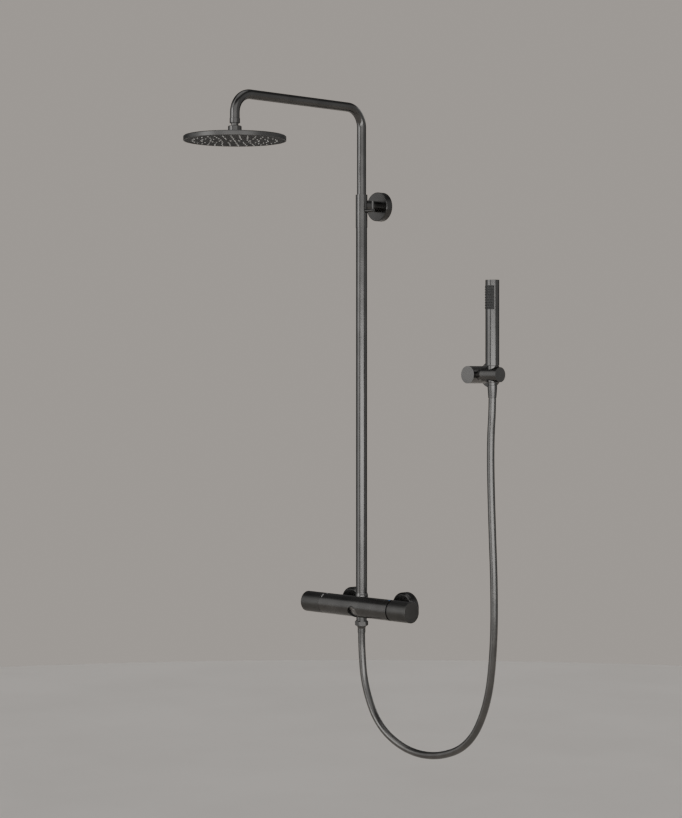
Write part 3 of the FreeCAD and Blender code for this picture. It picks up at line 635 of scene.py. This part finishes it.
def bar_mark(name, along, width, start, end):
    """Thin inlay that follows the round of the bar, between two angles above the front."""
    middle = tuple(metres(*BAR))
    let_go()
    bpy.ops.mesh.primitive_plane_add(size=1, location=(0, 0, 0))
    open_whole()
    bpy.ops.mesh.delete(type="ONLY_FACE")
    pick(lambda place: place.y > 0)
    bpy.ops.mesh.delete(type="VERT")
    bpy.ops.mesh.select_all(action="SELECT")
    bpy.ops.transform.resize(value=(width * MM, 1, 1), center_override=(0, 0, 0))
    bpy.ops.transform.translate(value=(along * MM, 0.5 + BAR_Y * MM - (BAR_RADIUS + MARK_HEIGHT) * MM, 0))
    bpy.ops.transform.rotate(value=math.radians(start), orient_axis="X", center_override=middle)
    bpy.ops.mesh.spin(steps=10, angle=math.radians(start - end), center=middle, axis=(1, 0, 0))
    mark = keep(name)
    use_modifier(mark, "SOLIDIFY", thickness=MARK_THICKNESS, offset=0)
    return soften(mark, 0)


fit(bar_mark("flow_mark", -94.1, 1.1, 64, 86), "root", mark_white, "white_plastic")
fit(bar_mark("flow_dot", -89.6, 1.4, 87, 94), "root", mark_white, "white_plastic")
fit(bar_mark("temperature_mark", 93.0, 3.2, 83, 92), "root", mark_blue, "white_plastic")
fit(make_bar(), "root", bar_metal, "gunmetal", "mixer_sleeve")
fit(make_well_lining(), "root", black_plastic, "black_plastic")
fit(make_knob("flow_handle", -1, 98.6), "flow_knob", knob_metal, "knob_metal", "flow_knob")
fit(make_knob("temperature_handle", 1, 101.0), "temperature_knob", knob_metal, "knob_metal",
    "temperature_knob")
coil = fit(make_coil(), "root", steel, "steel", "diverter_spring")
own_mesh(coil)
fit(make_button(), "diverter_button", lit_button_metal, "knob_metal", "diverter_button")

# ---- riser, outlet and inlets ------------------------------------------------------------------------------
FORM_GAP = 0.05
NUT_LOW = -39.5
NUT_HIGH = -29.2
RISER_BORE = 10.1
RISER_LOW = 23.2
RISER_HIGH = 797.9


def column(name, outline, corners=MEDIUM):
    return turned(name, outline, (0, COLUMN_Y, 0), UP, corners)


def bar_form():
    """Cutter in the shape of the bar, for what sits on its round."""
    return rod("bar_form", BAR_RADIUS + FORM_GAP, (-30, BAR_Y, 0), (30, BAR_Y, 0), FINE)


def make_riser_foot():
    """Collar that follows the round of the bar and necks in to the riser."""
    outline = [(8.5, 4), (13.3, 4), (13.3, 22.6), (12.8, 25.2), (12.3, 27.0), (12.3, 28.0), (11.6, 28.0),
               (11.6, 21.8), (8.5, 21.8), (8.5, 4)]
    return soften(cut(column("riser_foot", outline), [bar_form()]), 0.3)


def make_hex(name, across, base, direction, low, high, chamfer, turn):
    """Hexagon with both ends chamfered round, by keeping what lies inside a turned blank."""
    to_corner = across / math.sqrt(3)
    let_go()
    bpy.ops.mesh.primitive_cylinder_add(vertices=6, radius=to_corner * MM, depth=(high - low) * MM,
                                        location=(0, 0, (high + low) / 2 * MM))
    open_whole()
    bpy.ops.transform.rotate(value=math.radians(turn), orient_axis="Z", center_override=(0, 0, 0))
    nut = settle(keep(name), base, direction)
    wide = to_corner + 0.2
    rim = across / 2 - 0.1
    outline = [(0, low), (rim, low), (wide, low + chamfer), (wide, high - chamfer), (rim, high), (0, high)]
    return combine(nut, [turned("blank", outline, base, direction, 72)], "INTERSECT")


def make_hose_nut():
    nut = make_hex("hose_nut", 24.0, (0, COLUMN_Y, 0), UP, NUT_LOW, NUT_HIGH, 1.6, 37.4)
    return soften(cut(nut, [rod("bore", 10.0, (0, COLUMN_Y, -45), (0, COLUMN_Y, -20), BORE)]), 0.25)


def make_outlet():
    """Neck under the bar, and the spigot inside the hose nut."""
    neck = column("outlet_neck", [(6.5, -29.0), (10.8, -29.0), (10.8, -4), (6.5, -4), (6.5, -29.0)])
    spigot = column("outlet_spigot", [(6.5, -36.0), (9.9, -36.0), (9.9, -28.9), (6.5, -28.9), (6.5, -36.0)])
    return join("outlet_neck", [soften(cut(neck, [bar_form()]), 0.3), soften(spigot, 0.2)])


def make_lower_ferrule():
    outline = [(0, HOSE_EXIT_Z), (8.1, HOSE_EXIT_Z), (8.1, -44.6), (8.5, -43.2), (9.4, -41.0), (9.9, -39.8),
               (9.9, -38.0), (0, -38.0)]
    return soften(column("hose_ferrule_lower", outline), 0.35, 3, 12)


def make_rosette(name, radius, depth, chamfer, hole, x, z):
    """Cup against the wall with a chamfered front and a hole in its middle."""
    wall = 1.6
    inner = radius - wall
    back = depth - wall
    outline = [(radius, 0), (radius, depth - chamfer), (radius - chamfer, depth), (hole, depth),
               (hole, back), (inner - chamfer, back), (inner, back - chamfer), (inner, 0), (radius, 0)]
    return turned(name, outline, (x, 0, z), OUT_OF_WALL, FINE)


def make_union(inlet_x):
    """Threaded wall tail and the flanged tube that the nut holds."""
    outline = [(7.5, -18), (10.1, -18), (10.47, -17), (10.47, 0), (12.2, 0), (12.2, 36), (12.9, 36),
               (12.9, 39.9), (7.5, 39.9), (7.5, -18)]
    return soften(turned("inlet_union", outline, (inlet_x, 0, 0), OUT_OF_WALL), 0.25)


def make_union_nut(inlet_x):
    nut = make_hex("union_nut", 30.0, (inlet_x, 0, 0), OUT_OF_WALL, 28.0, 46.5, 1.8, 30)
    bores = [rod("bore", INLET_PORT_RADIUS, (inlet_x, -35.9, 0), (inlet_x, -50, 0), BORE)]
    bores.append(rod("bore", 12.3, (inlet_x, -20, 0), (inlet_x, -37, 0), BORE))
    return soften(cut(nut, bores), 0.3)


def make_inlet_rosette(inlet_x):
    return soften(make_rosette("rosette", INLET_ROSETTE_RADIUS, 18.5, 4.0, 12.5, inlet_x, 0), 0.5)


def at_both_inlets(name, make):
    return join(name, [make(inlet_x) for inlet_x in INLETS_X])


fit(make_riser_foot(), "root", turned_metal, "gunmetal", "riser_foot")
fit(make_outlet(), "root", turned_metal, "gunmetal", "outlet_nipple")
fit(make_hose_nut(), "root", turned_metal, "gunmetal", "hose_nut")
fit(make_lower_ferrule(), "root", turned_metal, "gunmetal", "hose_ferrule_lower")
fit(at_both_inlets("inlet_unions", make_union), "root", turned_metal, "gunmetal", "inlet_unions")
fit(at_both_inlets("union_nuts", make_union_nut), "root", turned_metal, "gunmetal", "union_nuts")
fit(at_both_inlets("inlet_rosettes", make_inlet_rosette), "root", shaded_rosette_metal, "gunmetal", "inlet_rosettes")

riser = column("riser_tube", [(RISER_BORE, RISER_LOW), (RISER_RADIUS, RISER_LOW), (RISER_RADIUS, RISER_HIGH),
                              (RISER_BORE, RISER_HIGH), (RISER_BORE, RISER_LOW)])
fit(soften(riser, 0.2), "root", tube_metal, "gunmetal", "riser_tube")

SLEEVE_RADIUS = 12.15
LOCK_Z = 813.0


def make_sleeve():
    """Sleeve on the riser's top with two inner rings that guide the arm, and a hole for the lock."""
    outline = [(11.6, 779.0), (SLEEVE_RADIUS, 779.0), (SLEEVE_RADIUS, 847.0), (9.75, 847.0), (9.75, 843.0),
               (11.6, 843.0), (11.6, 822.0), (9.75, 822.0), (9.75, 798.0), (11.6, 798.0), (11.6, 779.0)]
    lock_hole = rod("lock_hole", 2.0, (8, COLUMN_Y, LOCK_Z), (20, COLUMN_Y, LOCK_Z), PIN)
    return soften(cut(column("slide_sleeve", outline), [lock_hole]), 0.25)


def make_lock_lever():
    """Cross rod with a smaller upright at its end, in one turned-down piece."""
    stem = rod("stem", 1.9, (10.7, COLUMN_Y, LOCK_Z), (14, COLUMN_Y, LOCK_Z), PIN)
    handle = rod("lock_lever", 3.5, (12.6, COLUMN_Y, LOCK_Z), (35.2, COLUMN_Y, LOCK_Z), SMALL)
    upright = rod("upright", 2.4, (32.8, COLUMN_Y, LOCK_Z), (32.8, COLUMN_Y, 832.3), SMALL)
    return soften(combine(handle, [stem, upright], "UNION"), 0.3)


fit(make_sleeve(), "root", tube_metal, "gunmetal", "slide_sleeve")
fit(make_lock_lever(), "lock_lever", turned_metal, "gunmetal", "lock_lever")

# ---- upper bracket -----------------------------------------------------------------------------------------
SPIGOT_BORE = 8.1
SPIGOT_DEPTH = 29.0
SPIGOT_HOLE = 8.2
GRUB_RADIUS = 1.55


def make_post(name, x, z, radius, front, back):
    """Post with the blind bore for the wall spigot and its grub screw hole."""
    outline = [(0, -front), (radius, -front), (radius, -back), (SPIGOT_BORE, -back),
               (SPIGOT_BORE, SPIGOT_DEPTH), (0, SPIGOT_DEPTH)]
    post = turned(name, outline, (x, 0, z), OUT_OF_WALL)
    return cut(post, [rod("grub_hole", GRUB_RADIUS, (x, back - 6, z - radius - 2), (x, back - 6, z - 5), 24)])


bracket_post = make_post("bracket_post", 0, BRACKET_Z, 11.5, COLUMN_Y, -16.0)
sleeve_form = rod("sleeve_form", SLEEVE_RADIUS + FORM_GAP, (0, COLUMN_Y, 770), (0, COLUMN_Y, 860))
fit(soften(cut(bracket_post, [sleeve_form]), 0.3), "root", turned_metal, "gunmetal", "bracket_post")
bracket_rosette = make_rosette("bracket_rosette", 30.0, 16.0, 0.9, SPIGOT_HOLE, 0, BRACKET_Z)
fit(soften(bracket_rosette, 0.4), "root", shaded_rosette_metal, "gunmetal", "bracket_rosette")

# ---- arm ---------------------------------------------------------------------------------------------------
ARM_RADIUS = 9.5
ARM_HEIGHT = 1024.0
ARM_BEND = 39.5
ARM_FOOT = 480.0
BEND_STEPS = 24
STEM_END = 974.0
COLLAR_LOW = 964.05
COLLAR_HIGH = 973.95
BALL_RADIUS = 9.6
BALL_Z = 950.0
NECK_RADIUS = 5.2


def make_arm():
    """One ring drawn up, spun over the upper bend, drawn out, spun over the front bend and drawn down."""
    let_go()
    bpy.ops.mesh.primitive_circle_add(vertices=MEDIUM, radius=ARM_RADIUS * MM, fill_type="NGON",
                                      location=metres(0, COLUMN_Y, ARM_FOOT))
    open_whole()
    bend_z = (ARM_HEIGHT - ARM_BEND) * MM
    bpy.ops.mesh.extrude_region_move(TRANSFORM_OT_translate={"value": (0, 0, bend_z - ARM_FOOT * MM)})
    centre = metres(0, COLUMN_Y - ARM_BEND, ARM_HEIGHT - ARM_BEND)
    bpy.ops.mesh.spin(steps=BEND_STEPS, angle=-math.pi / 2, center=tuple(centre), axis=(1, 0, 0))
    out = (HEAD_Y + ARM_BEND - (COLUMN_Y - ARM_BEND)) * MM
    bpy.ops.mesh.extrude_region_move(TRANSFORM_OT_translate={"value": (0, out, 0)})
    centre = metres(0, HEAD_Y + ARM_BEND, ARM_HEIGHT - ARM_BEND)
    bpy.ops.mesh.spin(steps=BEND_STEPS, angle=-math.pi / 2, center=tuple(centre), axis=(1, 0, 0))
    bpy.ops.mesh.extrude_region_move(TRANSFORM_OT_translate={"value": (0, 0, STEM_END * MM - bend_z)})
    close_up()
    return settle(keep("arm_tube"))


fit(soften(make_arm(), 0), "arm", tube_metal, "gunmetal", "arm_tube")


def head_turned(name, outline, corners=MEDIUM):
    return turned(name, outline, (0, HEAD_Y, 0), UP, corners)


collar = head_turned("arm_collar", [(8.0, COLLAR_LOW), (10.15, COLLAR_LOW), (10.15, COLLAR_HIGH),
                                    (8.0, COLLAR_HIGH), (8.0, COLLAR_LOW)])
fit(soften(collar, 0.5), "arm", turned_metal, "gunmetal", "arm_collar")


def make_ball_stem():
    """Threaded stem, neck and swivel ball."""
    outline = [(0, BALL_Z - BALL_RADIUS)]
    for step in range(1, 15):
        angle = math.radians(-90 + 10 * step)
        if BALL_RADIUS * math.cos(angle) > NECK_RADIUS or angle < 0:
            outline.append((BALL_RADIUS * math.cos(angle), BALL_Z + BALL_RADIUS * math.sin(angle)))
    outline += [(NECK_RADIUS, 958.1), (NECK_RADIUS, 959.2), (7.0, 959.2), (7.0, 964.0), (7.9, 964.0),
                (7.9, 984.0), (0, 984.0)]
    return soften(head_turned("ball_stem", outline), 0.25, 2, 40)


fit(make_ball_stem(), "arm", turned_metal, "gunmetal", "ball_stem")

# ---- rain head ---------------------------------------------------------------------------------------------
NOZZLE_RINGS = [(6, 9.4), (12, 29.8), (20, 47.2), (26, 64.6), (32, 82.0)]
NOZZLE_TURN = 134.0
PLATE_RADIUS = 96.3
PLATE_BOTTOM = 930.2
PLATE_TOP = 932.0


def nozzle_places():
    """Nozzle centres: one in the middle and rings that share one straight row."""
    places = [(0.0, 0.0)]
    for count, radius in NOZZLE_RINGS:
        for step in range(count):
            angle = 2 * math.pi * step / count + math.radians(NOZZLE_TURN)
            places.append((radius * math.cos(angle), radius * math.sin(angle)))
    return places


def make_ball_nut():
    """Nut that closes over the ball, with a flared mouth for the neck's swing."""
    outline = [(13.3, 939.3), (13.3, 957.8), (12.3, 958.8), (11.4, 958.8), (9.0, 956.0), (9.6, 955.0),
               (11.3, 950.0), (11.3, 939.3), (13.3, 939.3)]
    return soften(head_turned("ball_nut", outline), 0.35)


def make_cover():
    """Thin round cover, hollow below for the face plate."""
    ceiling = PLATE_TOP + 5.2
    mouth = PLATE_RADIUS + 0.2
    outline = [(0, HEAD_TOP), (HEAD_RADIUS - 1.5, HEAD_TOP), (HEAD_RADIUS, HEAD_TOP - 1.5),
               (HEAD_RADIUS, HEAD_BOTTOM + 0.4), (HEAD_RADIUS - 0.4, HEAD_BOTTOM), (mouth, HEAD_BOTTOM),
               (mouth, ceiling), (0, ceiling)]
    return soften(head_turned("head_cover", outline, WIDE), 0.4)


def make_plate():
    outline = [(0, PLATE_BOTTOM), (PLATE_RADIUS - 0.3, PLATE_BOTTOM), (PLATE_RADIUS, PLATE_BOTTOM + 0.3),
               (PLATE_RADIUS, PLATE_TOP), (0, PLATE_TOP)]
    return soften(head_turned("head_face_plate", outline, WIDE), 0.1)


def make_nozzles():
    """Soft nozzle: a short tapered tip with a water hole, copied to every place."""
    outline = [(0, PLATE_BOTTOM + 0.4), (1.6, PLATE_BOTTOM + 0.4), (1.55, PLATE_BOTTOM - 0.1),
               (1.3, 928.95), (1.05, 928.8), (0.5, 928.8), (0.35, 929.3), (0, 929.3)]
    first = turned("nozzle", outline, (0, HEAD_Y, 0), UP, TINY)
    nozzles = [copy_to(first, metres(x, y, 0)) for x, y in nozzle_places()[1:]]
    return soften(join("nozzles", [first] + nozzles), 0)


fit(make_ball_nut(), "rain_head", turned_metal, "gunmetal", "ball_nut")
fit(make_cover(), "rain_head", head_metal, "gunmetal", "head_cover")
fit(make_plate(), "rain_head", shaded_plate_metal, "gunmetal", "head_face_plate")
fit(make_nozzles(), "rain_head", pale_silicone, "nozzle_silicone")

# ---- handset holder ----------------------------------------------------------------------------------------
BARREL_RADIUS = 14.7
BARREL_START = 330.0
BARREL_END = 371.0
NECK_START = 313
SEAT_RADIUS = 12.4
SEAT_REACH = 20
PIVOT_RADIUS = 5.0
SLOT_HALF = 8.2
SLOT_DEPTH = 30
SLOT_HEIGHT = 60
HOLDER_POST_RADIUS = 17.0


def holder_point(x):
    return (x, HANDSET_Y, HOLDER_Z)


def slot_form():
    """Block that opens the back of the barrel for the hose."""
    middle = metres(HANDSET_X, HANDSET_Y + SLOT_DEPTH / 2, HOLDER_Z)
    let_go()
    bpy.ops.mesh.primitive_cube_add(size=1, location=middle)
    open_whole()
    bpy.ops.transform.resize(value=(2 * SLOT_HALF * MM, SLOT_DEPTH * MM, SLOT_HEIGHT * MM),
                             center_override=tuple(middle))
    return settle(keep("slot_form"))


def make_barrel():
    """Round barrel across the handset, bored for its cone and for the pivot, open at the back."""
    length = BARREL_END - BARREL_START
    outline = [(0, 0), (BARREL_RADIUS, 0), (BARREL_RADIUS, length), (0, length)]
    barrel = turned("holder_barrel", outline, holder_point(BARREL_START), ALONG_WALL)
    seat = rod("seat", SEAT_RADIUS, (HANDSET_X, HANDSET_Y, HOLDER_Z - SEAT_REACH),
               (HANDSET_X, HANDSET_Y, HOLDER_Z + SEAT_REACH), BORE)
    pivot = rod("pivot_hole", PIVOT_RADIUS, holder_point(BARREL_START - 1), holder_point(336.5), PIN)
    return soften(cut(barrel, [seat, slot_form(), pivot]), 0.45)


def make_liner():
    """Plastic cone in the seat, trimmed to the barrel's round."""
    low = HOLDER_Z - SEAT_REACH
    high = HOLDER_Z + SEAT_REACH
    outline = [(9.8, low), (12.3, low), (12.3, high), (10.8, high), (9.8, low)]
    liner = turned("holder_liner", outline, (HANDSET_X, HANDSET_Y, 0))
    form = rod("barrel_form", BARREL_RADIUS - 0.15, holder_point(BARREL_START), holder_point(BARREL_END))
    return soften(cut(combine(liner, [form], "INTERSECT"), [slot_form()]), 0.15)


def make_neck():
    """Short tube from the post to the barrel, round the pivot."""
    length = BARREL_START - 0.4 - NECK_START
    outline = [(PIVOT_RADIUS, 0), (11.5, 0), (11.5, length), (PIVOT_RADIUS, length), (PIVOT_RADIUS, 0)]
    neck = turned("holder_neck", outline, holder_point(NECK_START), ALONG_WALL)
    post_form = rod("post_form", HOLDER_POST_RADIUS + FORM_GAP, (HOLDER_X, -80, HOLDER_Z),
                    (HOLDER_X, -10, HOLDER_Z))
    return soften(cut(neck, [post_form]), 0.3)


holder_post = make_post("holder_post", HOLDER_X, HOLDER_Z, HOLDER_POST_RADIUS, -71.5, -8.0)
fit(soften(holder_post, 0.6), "root", lit_post_metal, "gunmetal", "holder_post")
holder_rosette = make_rosette("holder_rosette", 25.0, 8.0, 0.9, SPIGOT_HOLE, HOLDER_X, HOLDER_Z)
fit(soften(holder_rosette, 0.4), "root", shaded_rosette_metal, "gunmetal", "holder_rosette")
fit(make_neck(), "root", bar_metal, "gunmetal", "holder_neck")
fit(make_barrel(), "holder", bar_metal, "gunmetal", "holder_barrel")
fit(make_liner(), "holder", black_plastic, "black_plastic", "holder_liner")

# ---- handset -----------------------------------------------------------------------------------------------
PAD_BOTTOM = 603.0
PAD_TOP = 649.0
PAD_HALF_ANGLE = 57.0
TIP_ROWS = 9
TIP_ROW_GAP = 5.08
TIP_TURN = 16.0
WATERWAY_RADIUS = 5.6
CONE_SHOULDER = 455.7
CONE_RADIUS = 8.7
CONE_WIDE = 10.3
TAIL_RADIUS = HOSE_RADIUS - 0.25


def hand_turned(name, outline, corners=MEDIUM):
    return turned(name, outline, (HANDSET_X, HANDSET_Y, 0), UP, corners)


def sector(name, inner, outer, low, high, half_angle):
    """Part of a tube on the handset's axis: a rectangle spun round the front."""
    let_go()
    bpy.ops.mesh.primitive_plane_add(size=1, location=(0, 0, 0))
    open_whole()
    bpy.ops.transform.rotate(value=math.pi / 2, orient_axis="X", center_override=(0, 0, 0))
    bpy.ops.transform.resize(value=((outer - inner) * MM, 1, (high - low) * MM), center_override=(0, 0, 0))
    bpy.ops.transform.translate(value=((outer + inner) / 2 * MM, 0, (high + low) / 2 * MM))
    bpy.ops.mesh.spin(steps=36, angle=math.radians(2 * half_angle), center=(0, 0, 0), axis=(0, 0, 1))
    bpy.ops.mesh.select_all(action="SELECT")
    bpy.ops.mesh.normals_make_consistent(inside=False)
    piece = keep(name)
    sides = [vertex.co.y for vertex in piece.data.vertices]
    half_back = half_angle if abs(min(sides)) > abs(max(sides)) else -half_angle
    piece.rotation_euler.z = math.radians(-90 + half_back)
    piece.location = metres(HANDSET_X, HANDSET_Y, 0)
    take(piece)
    place_in_mesh()
    return piece


def make_handset_body():
    """Hollow stick with a closed top and a window for the nozzle pad."""
    inner = HANDSET_RADIUS - 1.8
    floor = HANDSET_BOTTOM + 6
    ceiling = HANDSET_TOP - 3
    outline = [(0, HANDSET_TOP), (HANDSET_RADIUS, HANDSET_TOP), (HANDSET_RADIUS, HANDSET_BOTTOM),
               (WATERWAY_RADIUS, HANDSET_BOTTOM), (WATERWAY_RADIUS, floor), (inner, floor), (inner, ceiling),
               (0, ceiling)]
    body = hand_turned("handset_body", outline)
    window = sector("window", 11.0, HANDSET_RADIUS + 2, PAD_BOTTOM, PAD_TOP, PAD_HALF_ANGLE)
    return soften(cut(body, [window]), 0.4)


def make_pad():
    """Rubber pad with staggered soft nozzles."""
    pad = sector("nozzle_pad", HANDSET_RADIUS - 1.75, HANDSET_RADIUS + 0.3, PAD_BOTTOM + 0.1, PAD_TOP - 0.1,
                 PAD_HALF_ANGLE - 0.4)
    soften(pad, 0.3)
    peak = HANDSET_RADIUS + 1.1
    outline = [(0, HANDSET_RADIUS - 0.5), (1.3, HANDSET_RADIUS - 0.5), (1.15, HANDSET_RADIUS + 0.5),
               (0.85, peak), (0.4, peak), (0.35, peak - 0.4), (0, peak - 0.4)]
    tips = []
    for row in range(TIP_ROWS):
        z = PAD_BOTTOM + 2.7 + row * TIP_ROW_GAP
        shift = 0.5 * (row % 2)
        for step in range(-3, 4 - row % 2):
            angle = math.radians(-90 + (step + shift) * TIP_TURN)
            out = Vector((math.cos(angle), math.sin(angle), 0))
            tips.append(turned("tip", outline, (HANDSET_X, HANDSET_Y, z), out, TINY))
    return pad, soften(join("handset_nozzles", tips), 0)


def make_cone():
    """Cone on the hose's end that the holder's seat takes."""
    top = HANDSET_BOTTOM - 0.3
    outline = [(WATERWAY_RADIUS, CONE_SHOULDER), (CONE_RADIUS, CONE_SHOULDER), (CONE_RADIUS, 461.0),
               (9.3, 461.3), (CONE_WIDE, HANDSET_BOTTOM - 3), (CONE_WIDE, top), (WATERWAY_RADIUS, top),
               (WATERWAY_RADIUS, CONE_SHOULDER)]
    return soften(hand_turned("hose_cone", outline), 0.3)


def make_upper_ferrule():
    top = CONE_SHOULDER - 0.05
    outline = [(0, FERRULE_BOTTOM), (7.9, FERRULE_BOTTOM), (9.2, 449.0), (9.4, top), (0, top)]
    return soften(hand_turned("hose_ferrule_upper", outline), 0.3)


def make_hose_tail():
    """The hose's own last stretch, a little thinner, which fills the gap when the handset is lifted."""
    stretch = [place for place in hose_path if place.z > (HOSE_TOP_Z - TAIL_LENGTH) * MM]
    stretch.append(metres(HANDSET_X, HANDSET_Y, FERRULE_BOTTOM + 4))
    tail = tube_along("hose_tail", stretch, TAIL_RADIUS)
    store_wrap(tail, stretch)
    return tail


fit(make_handset_body(), "handset", tube_metal, "gunmetal", "handset_body")
pad, tips = make_pad()
fit(pad, "handset", dark_rubber, "dark_rubber", "nozzle_pad")
fit(tips, "handset", dark_rubber, "dark_rubber")
fit(make_cone(), "hose_end", turned_metal, "gunmetal", "hose_cone")
fit(make_upper_ferrule(), "hose_end", turned_metal, "gunmetal", "hose_ferrule_upper")
fit(make_hose_tail(), "hose_end", hose_finish, "hose_skin")

# ---- finishes of the parts that stay as packed -------------------------------------------------------------
FINISH_OF_SLOT = {
    "gunmetal": turned_metal,
    "knob_metal": knob_metal,
    "raw_brass": brass,
    "steel": steel,
    "black_plastic": black_plastic,
    "white_plastic": white_plastic,
    "nozzle_silicone": pale_silicone,
    "dark_rubber": dark_rubber,
    "hose_skin": hose_finish,
}
for part in frame["record"]["subparts"]:
    node = frame["nodes"].get(part["node"])
    if node is None:
        continue
    finish = FINISH_OF_SLOT.get(part.get("material_slot"), turned_metal)
    for holder in node.material_slots:
        holder.material = finish

# ---- floor and light ---------------------------------------------------------------------------------------
FLOOR_Z = -1.1
FLOOR_RADIUS = 7
FLOOR_DARK = (0.84, 0.79, 0.735)
FLOOR_LIGHT = (0.88, 0.83, 0.775)
ROOM_COLOUR = (0.385, 0.355, 0.325)
ROOM_GLOW = 0.10
# glowing panels: turn from, turn to (degrees: 0 left, 90 front, 180 right), sine of height from and to,
# softness of the sides and of the top and bottom, glow
PANELS = [
    (20, 54, -0.90, 0.60, 8, 0.05, 0.62),
    (56, 90, -0.90, 0.90, 7, 0.10, 1.25),
    (58, 92, 0.06, 0.40, 7, 0.05, 1.40),
    (104, 200, -0.90, 0.60, 8, 0.10, 0.85),
    (-200, -112, -0.40, 0.60, 15, 0.20, 0.30),
    (-200, 200, 0.90, 1.20, 15, 0.06, 0.70),
    (-112, -66, 0.22, 0.48, 10, 0.06, 0.80),
]


def make_floor():
    let_go()
    bpy.ops.mesh.primitive_circle_add(vertices=MEDIUM, radius=FLOOR_RADIUS, fill_type="NGON",
                                      location=(0, 0, FLOOR_Z))
    floor = bpy.context.object
    floor.name = "floor"
    material, tree, shader = new_finish("floor_paint")
    cloud = noise_on_object(tree, 1.5, 3.0)
    tree.links.new(blend_colours(tree, cloud, FLOOR_DARK, FLOOR_LIGHT), shader.inputs["Base Color"])
    shader.inputs["Roughness"].default_value = 0.9
    floor.data.materials.append(material)


def make_room_light():
    """Soft studio: glowing panels that light the object, and an even pale backdrop for the camera."""
    world = bpy.data.worlds.new("room")
    bpy.context.scene.world = world
    world.use_nodes = True
    tree = world.node_tree
    background = tree.nodes["Background"]

    def step(value, start, end):
        node = tree.nodes.new("ShaderNodeMapRange")
        node.interpolation_type = "SMOOTHSTEP"
        node.inputs["From Min"].default_value = start
        node.inputs["From Max"].default_value = end
        tree.links.new(value, node.inputs["Value"])
        return node.outputs["Result"]

    coordinates = tree.nodes.new("ShaderNodeTexCoord")
    parts = tree.nodes.new("ShaderNodeSeparateXYZ")
    tree.links.new(coordinates.outputs["Generated"], parts.inputs["Vector"])
    # the turn starts at the left (-X): 45 is front left, 90 straight out from the wall (-Y), 180 right (+X)
    turn = arithmetic(tree, "ARCTAN2", arithmetic(tree, "MULTIPLY", parts.outputs["Y"], -1),
                      arithmetic(tree, "MULTIPLY", parts.outputs["X"], -1))
    total = None
    for left, right, low, high, soft, tall_soft, glow in PANELS:
        across = arithmetic(tree, "MULTIPLY", step(turn, math.radians(left - soft), math.radians(left + soft)),
                            step(turn, math.radians(right + soft), math.radians(right - soft)))
        tall = arithmetic(tree, "MULTIPLY", step(parts.outputs["Z"], low - tall_soft, low + tall_soft),
                          step(parts.outputs["Z"], high + tall_soft, high - tall_soft))
        panel = arithmetic(tree, "MULTIPLY", arithmetic(tree, "MULTIPLY", across, tall), glow)
        total = panel if total is None else arithmetic(tree, "ADD", total, panel)
    total = arithmetic(tree, "ADD", total, ROOM_GLOW)
    path = tree.nodes.new("ShaderNodeLightPath")
    choice = tree.nodes.new("ShaderNodeMix")
    choice.data_type = "RGBA"
    tree.links.new(path.outputs["Is Camera Ray"], choice.inputs["Factor"])
    lit_by, seen_behind = [socket for socket in choice.inputs if socket.type == "RGBA"]
    tree.links.new(total, lit_by)
    seen_behind.default_value = (*ROOM_COLOUR, 1)
    result = next(socket for socket in choice.outputs if socket.type == "RGBA")
    tree.links.new(result, background.inputs["Color"])


def add_softbox(name, place, target, width, height, power):
    """Rectangular lamp that shows in reflections only."""
    direction = Vector(target) - Vector(place)
    let_go()
    bpy.ops.object.light_add(type="AREA", location=place,
                             rotation=direction.to_track_quat("-Z", "Y").to_euler())
    light = bpy.context.object
    light.name = name
    light.data.shape = "RECTANGLE"
    light.data.size = width
    light.data.size_y = height
    light.data.energy = power
    light.visible_camera = False
    light.visible_diffuse = False


make_floor()
make_room_light()
add_softbox("window", place=(4.24, -2.75, 0.16), target=(0, -0.1, 0.16), width=7.6, height=1.0, power=55)
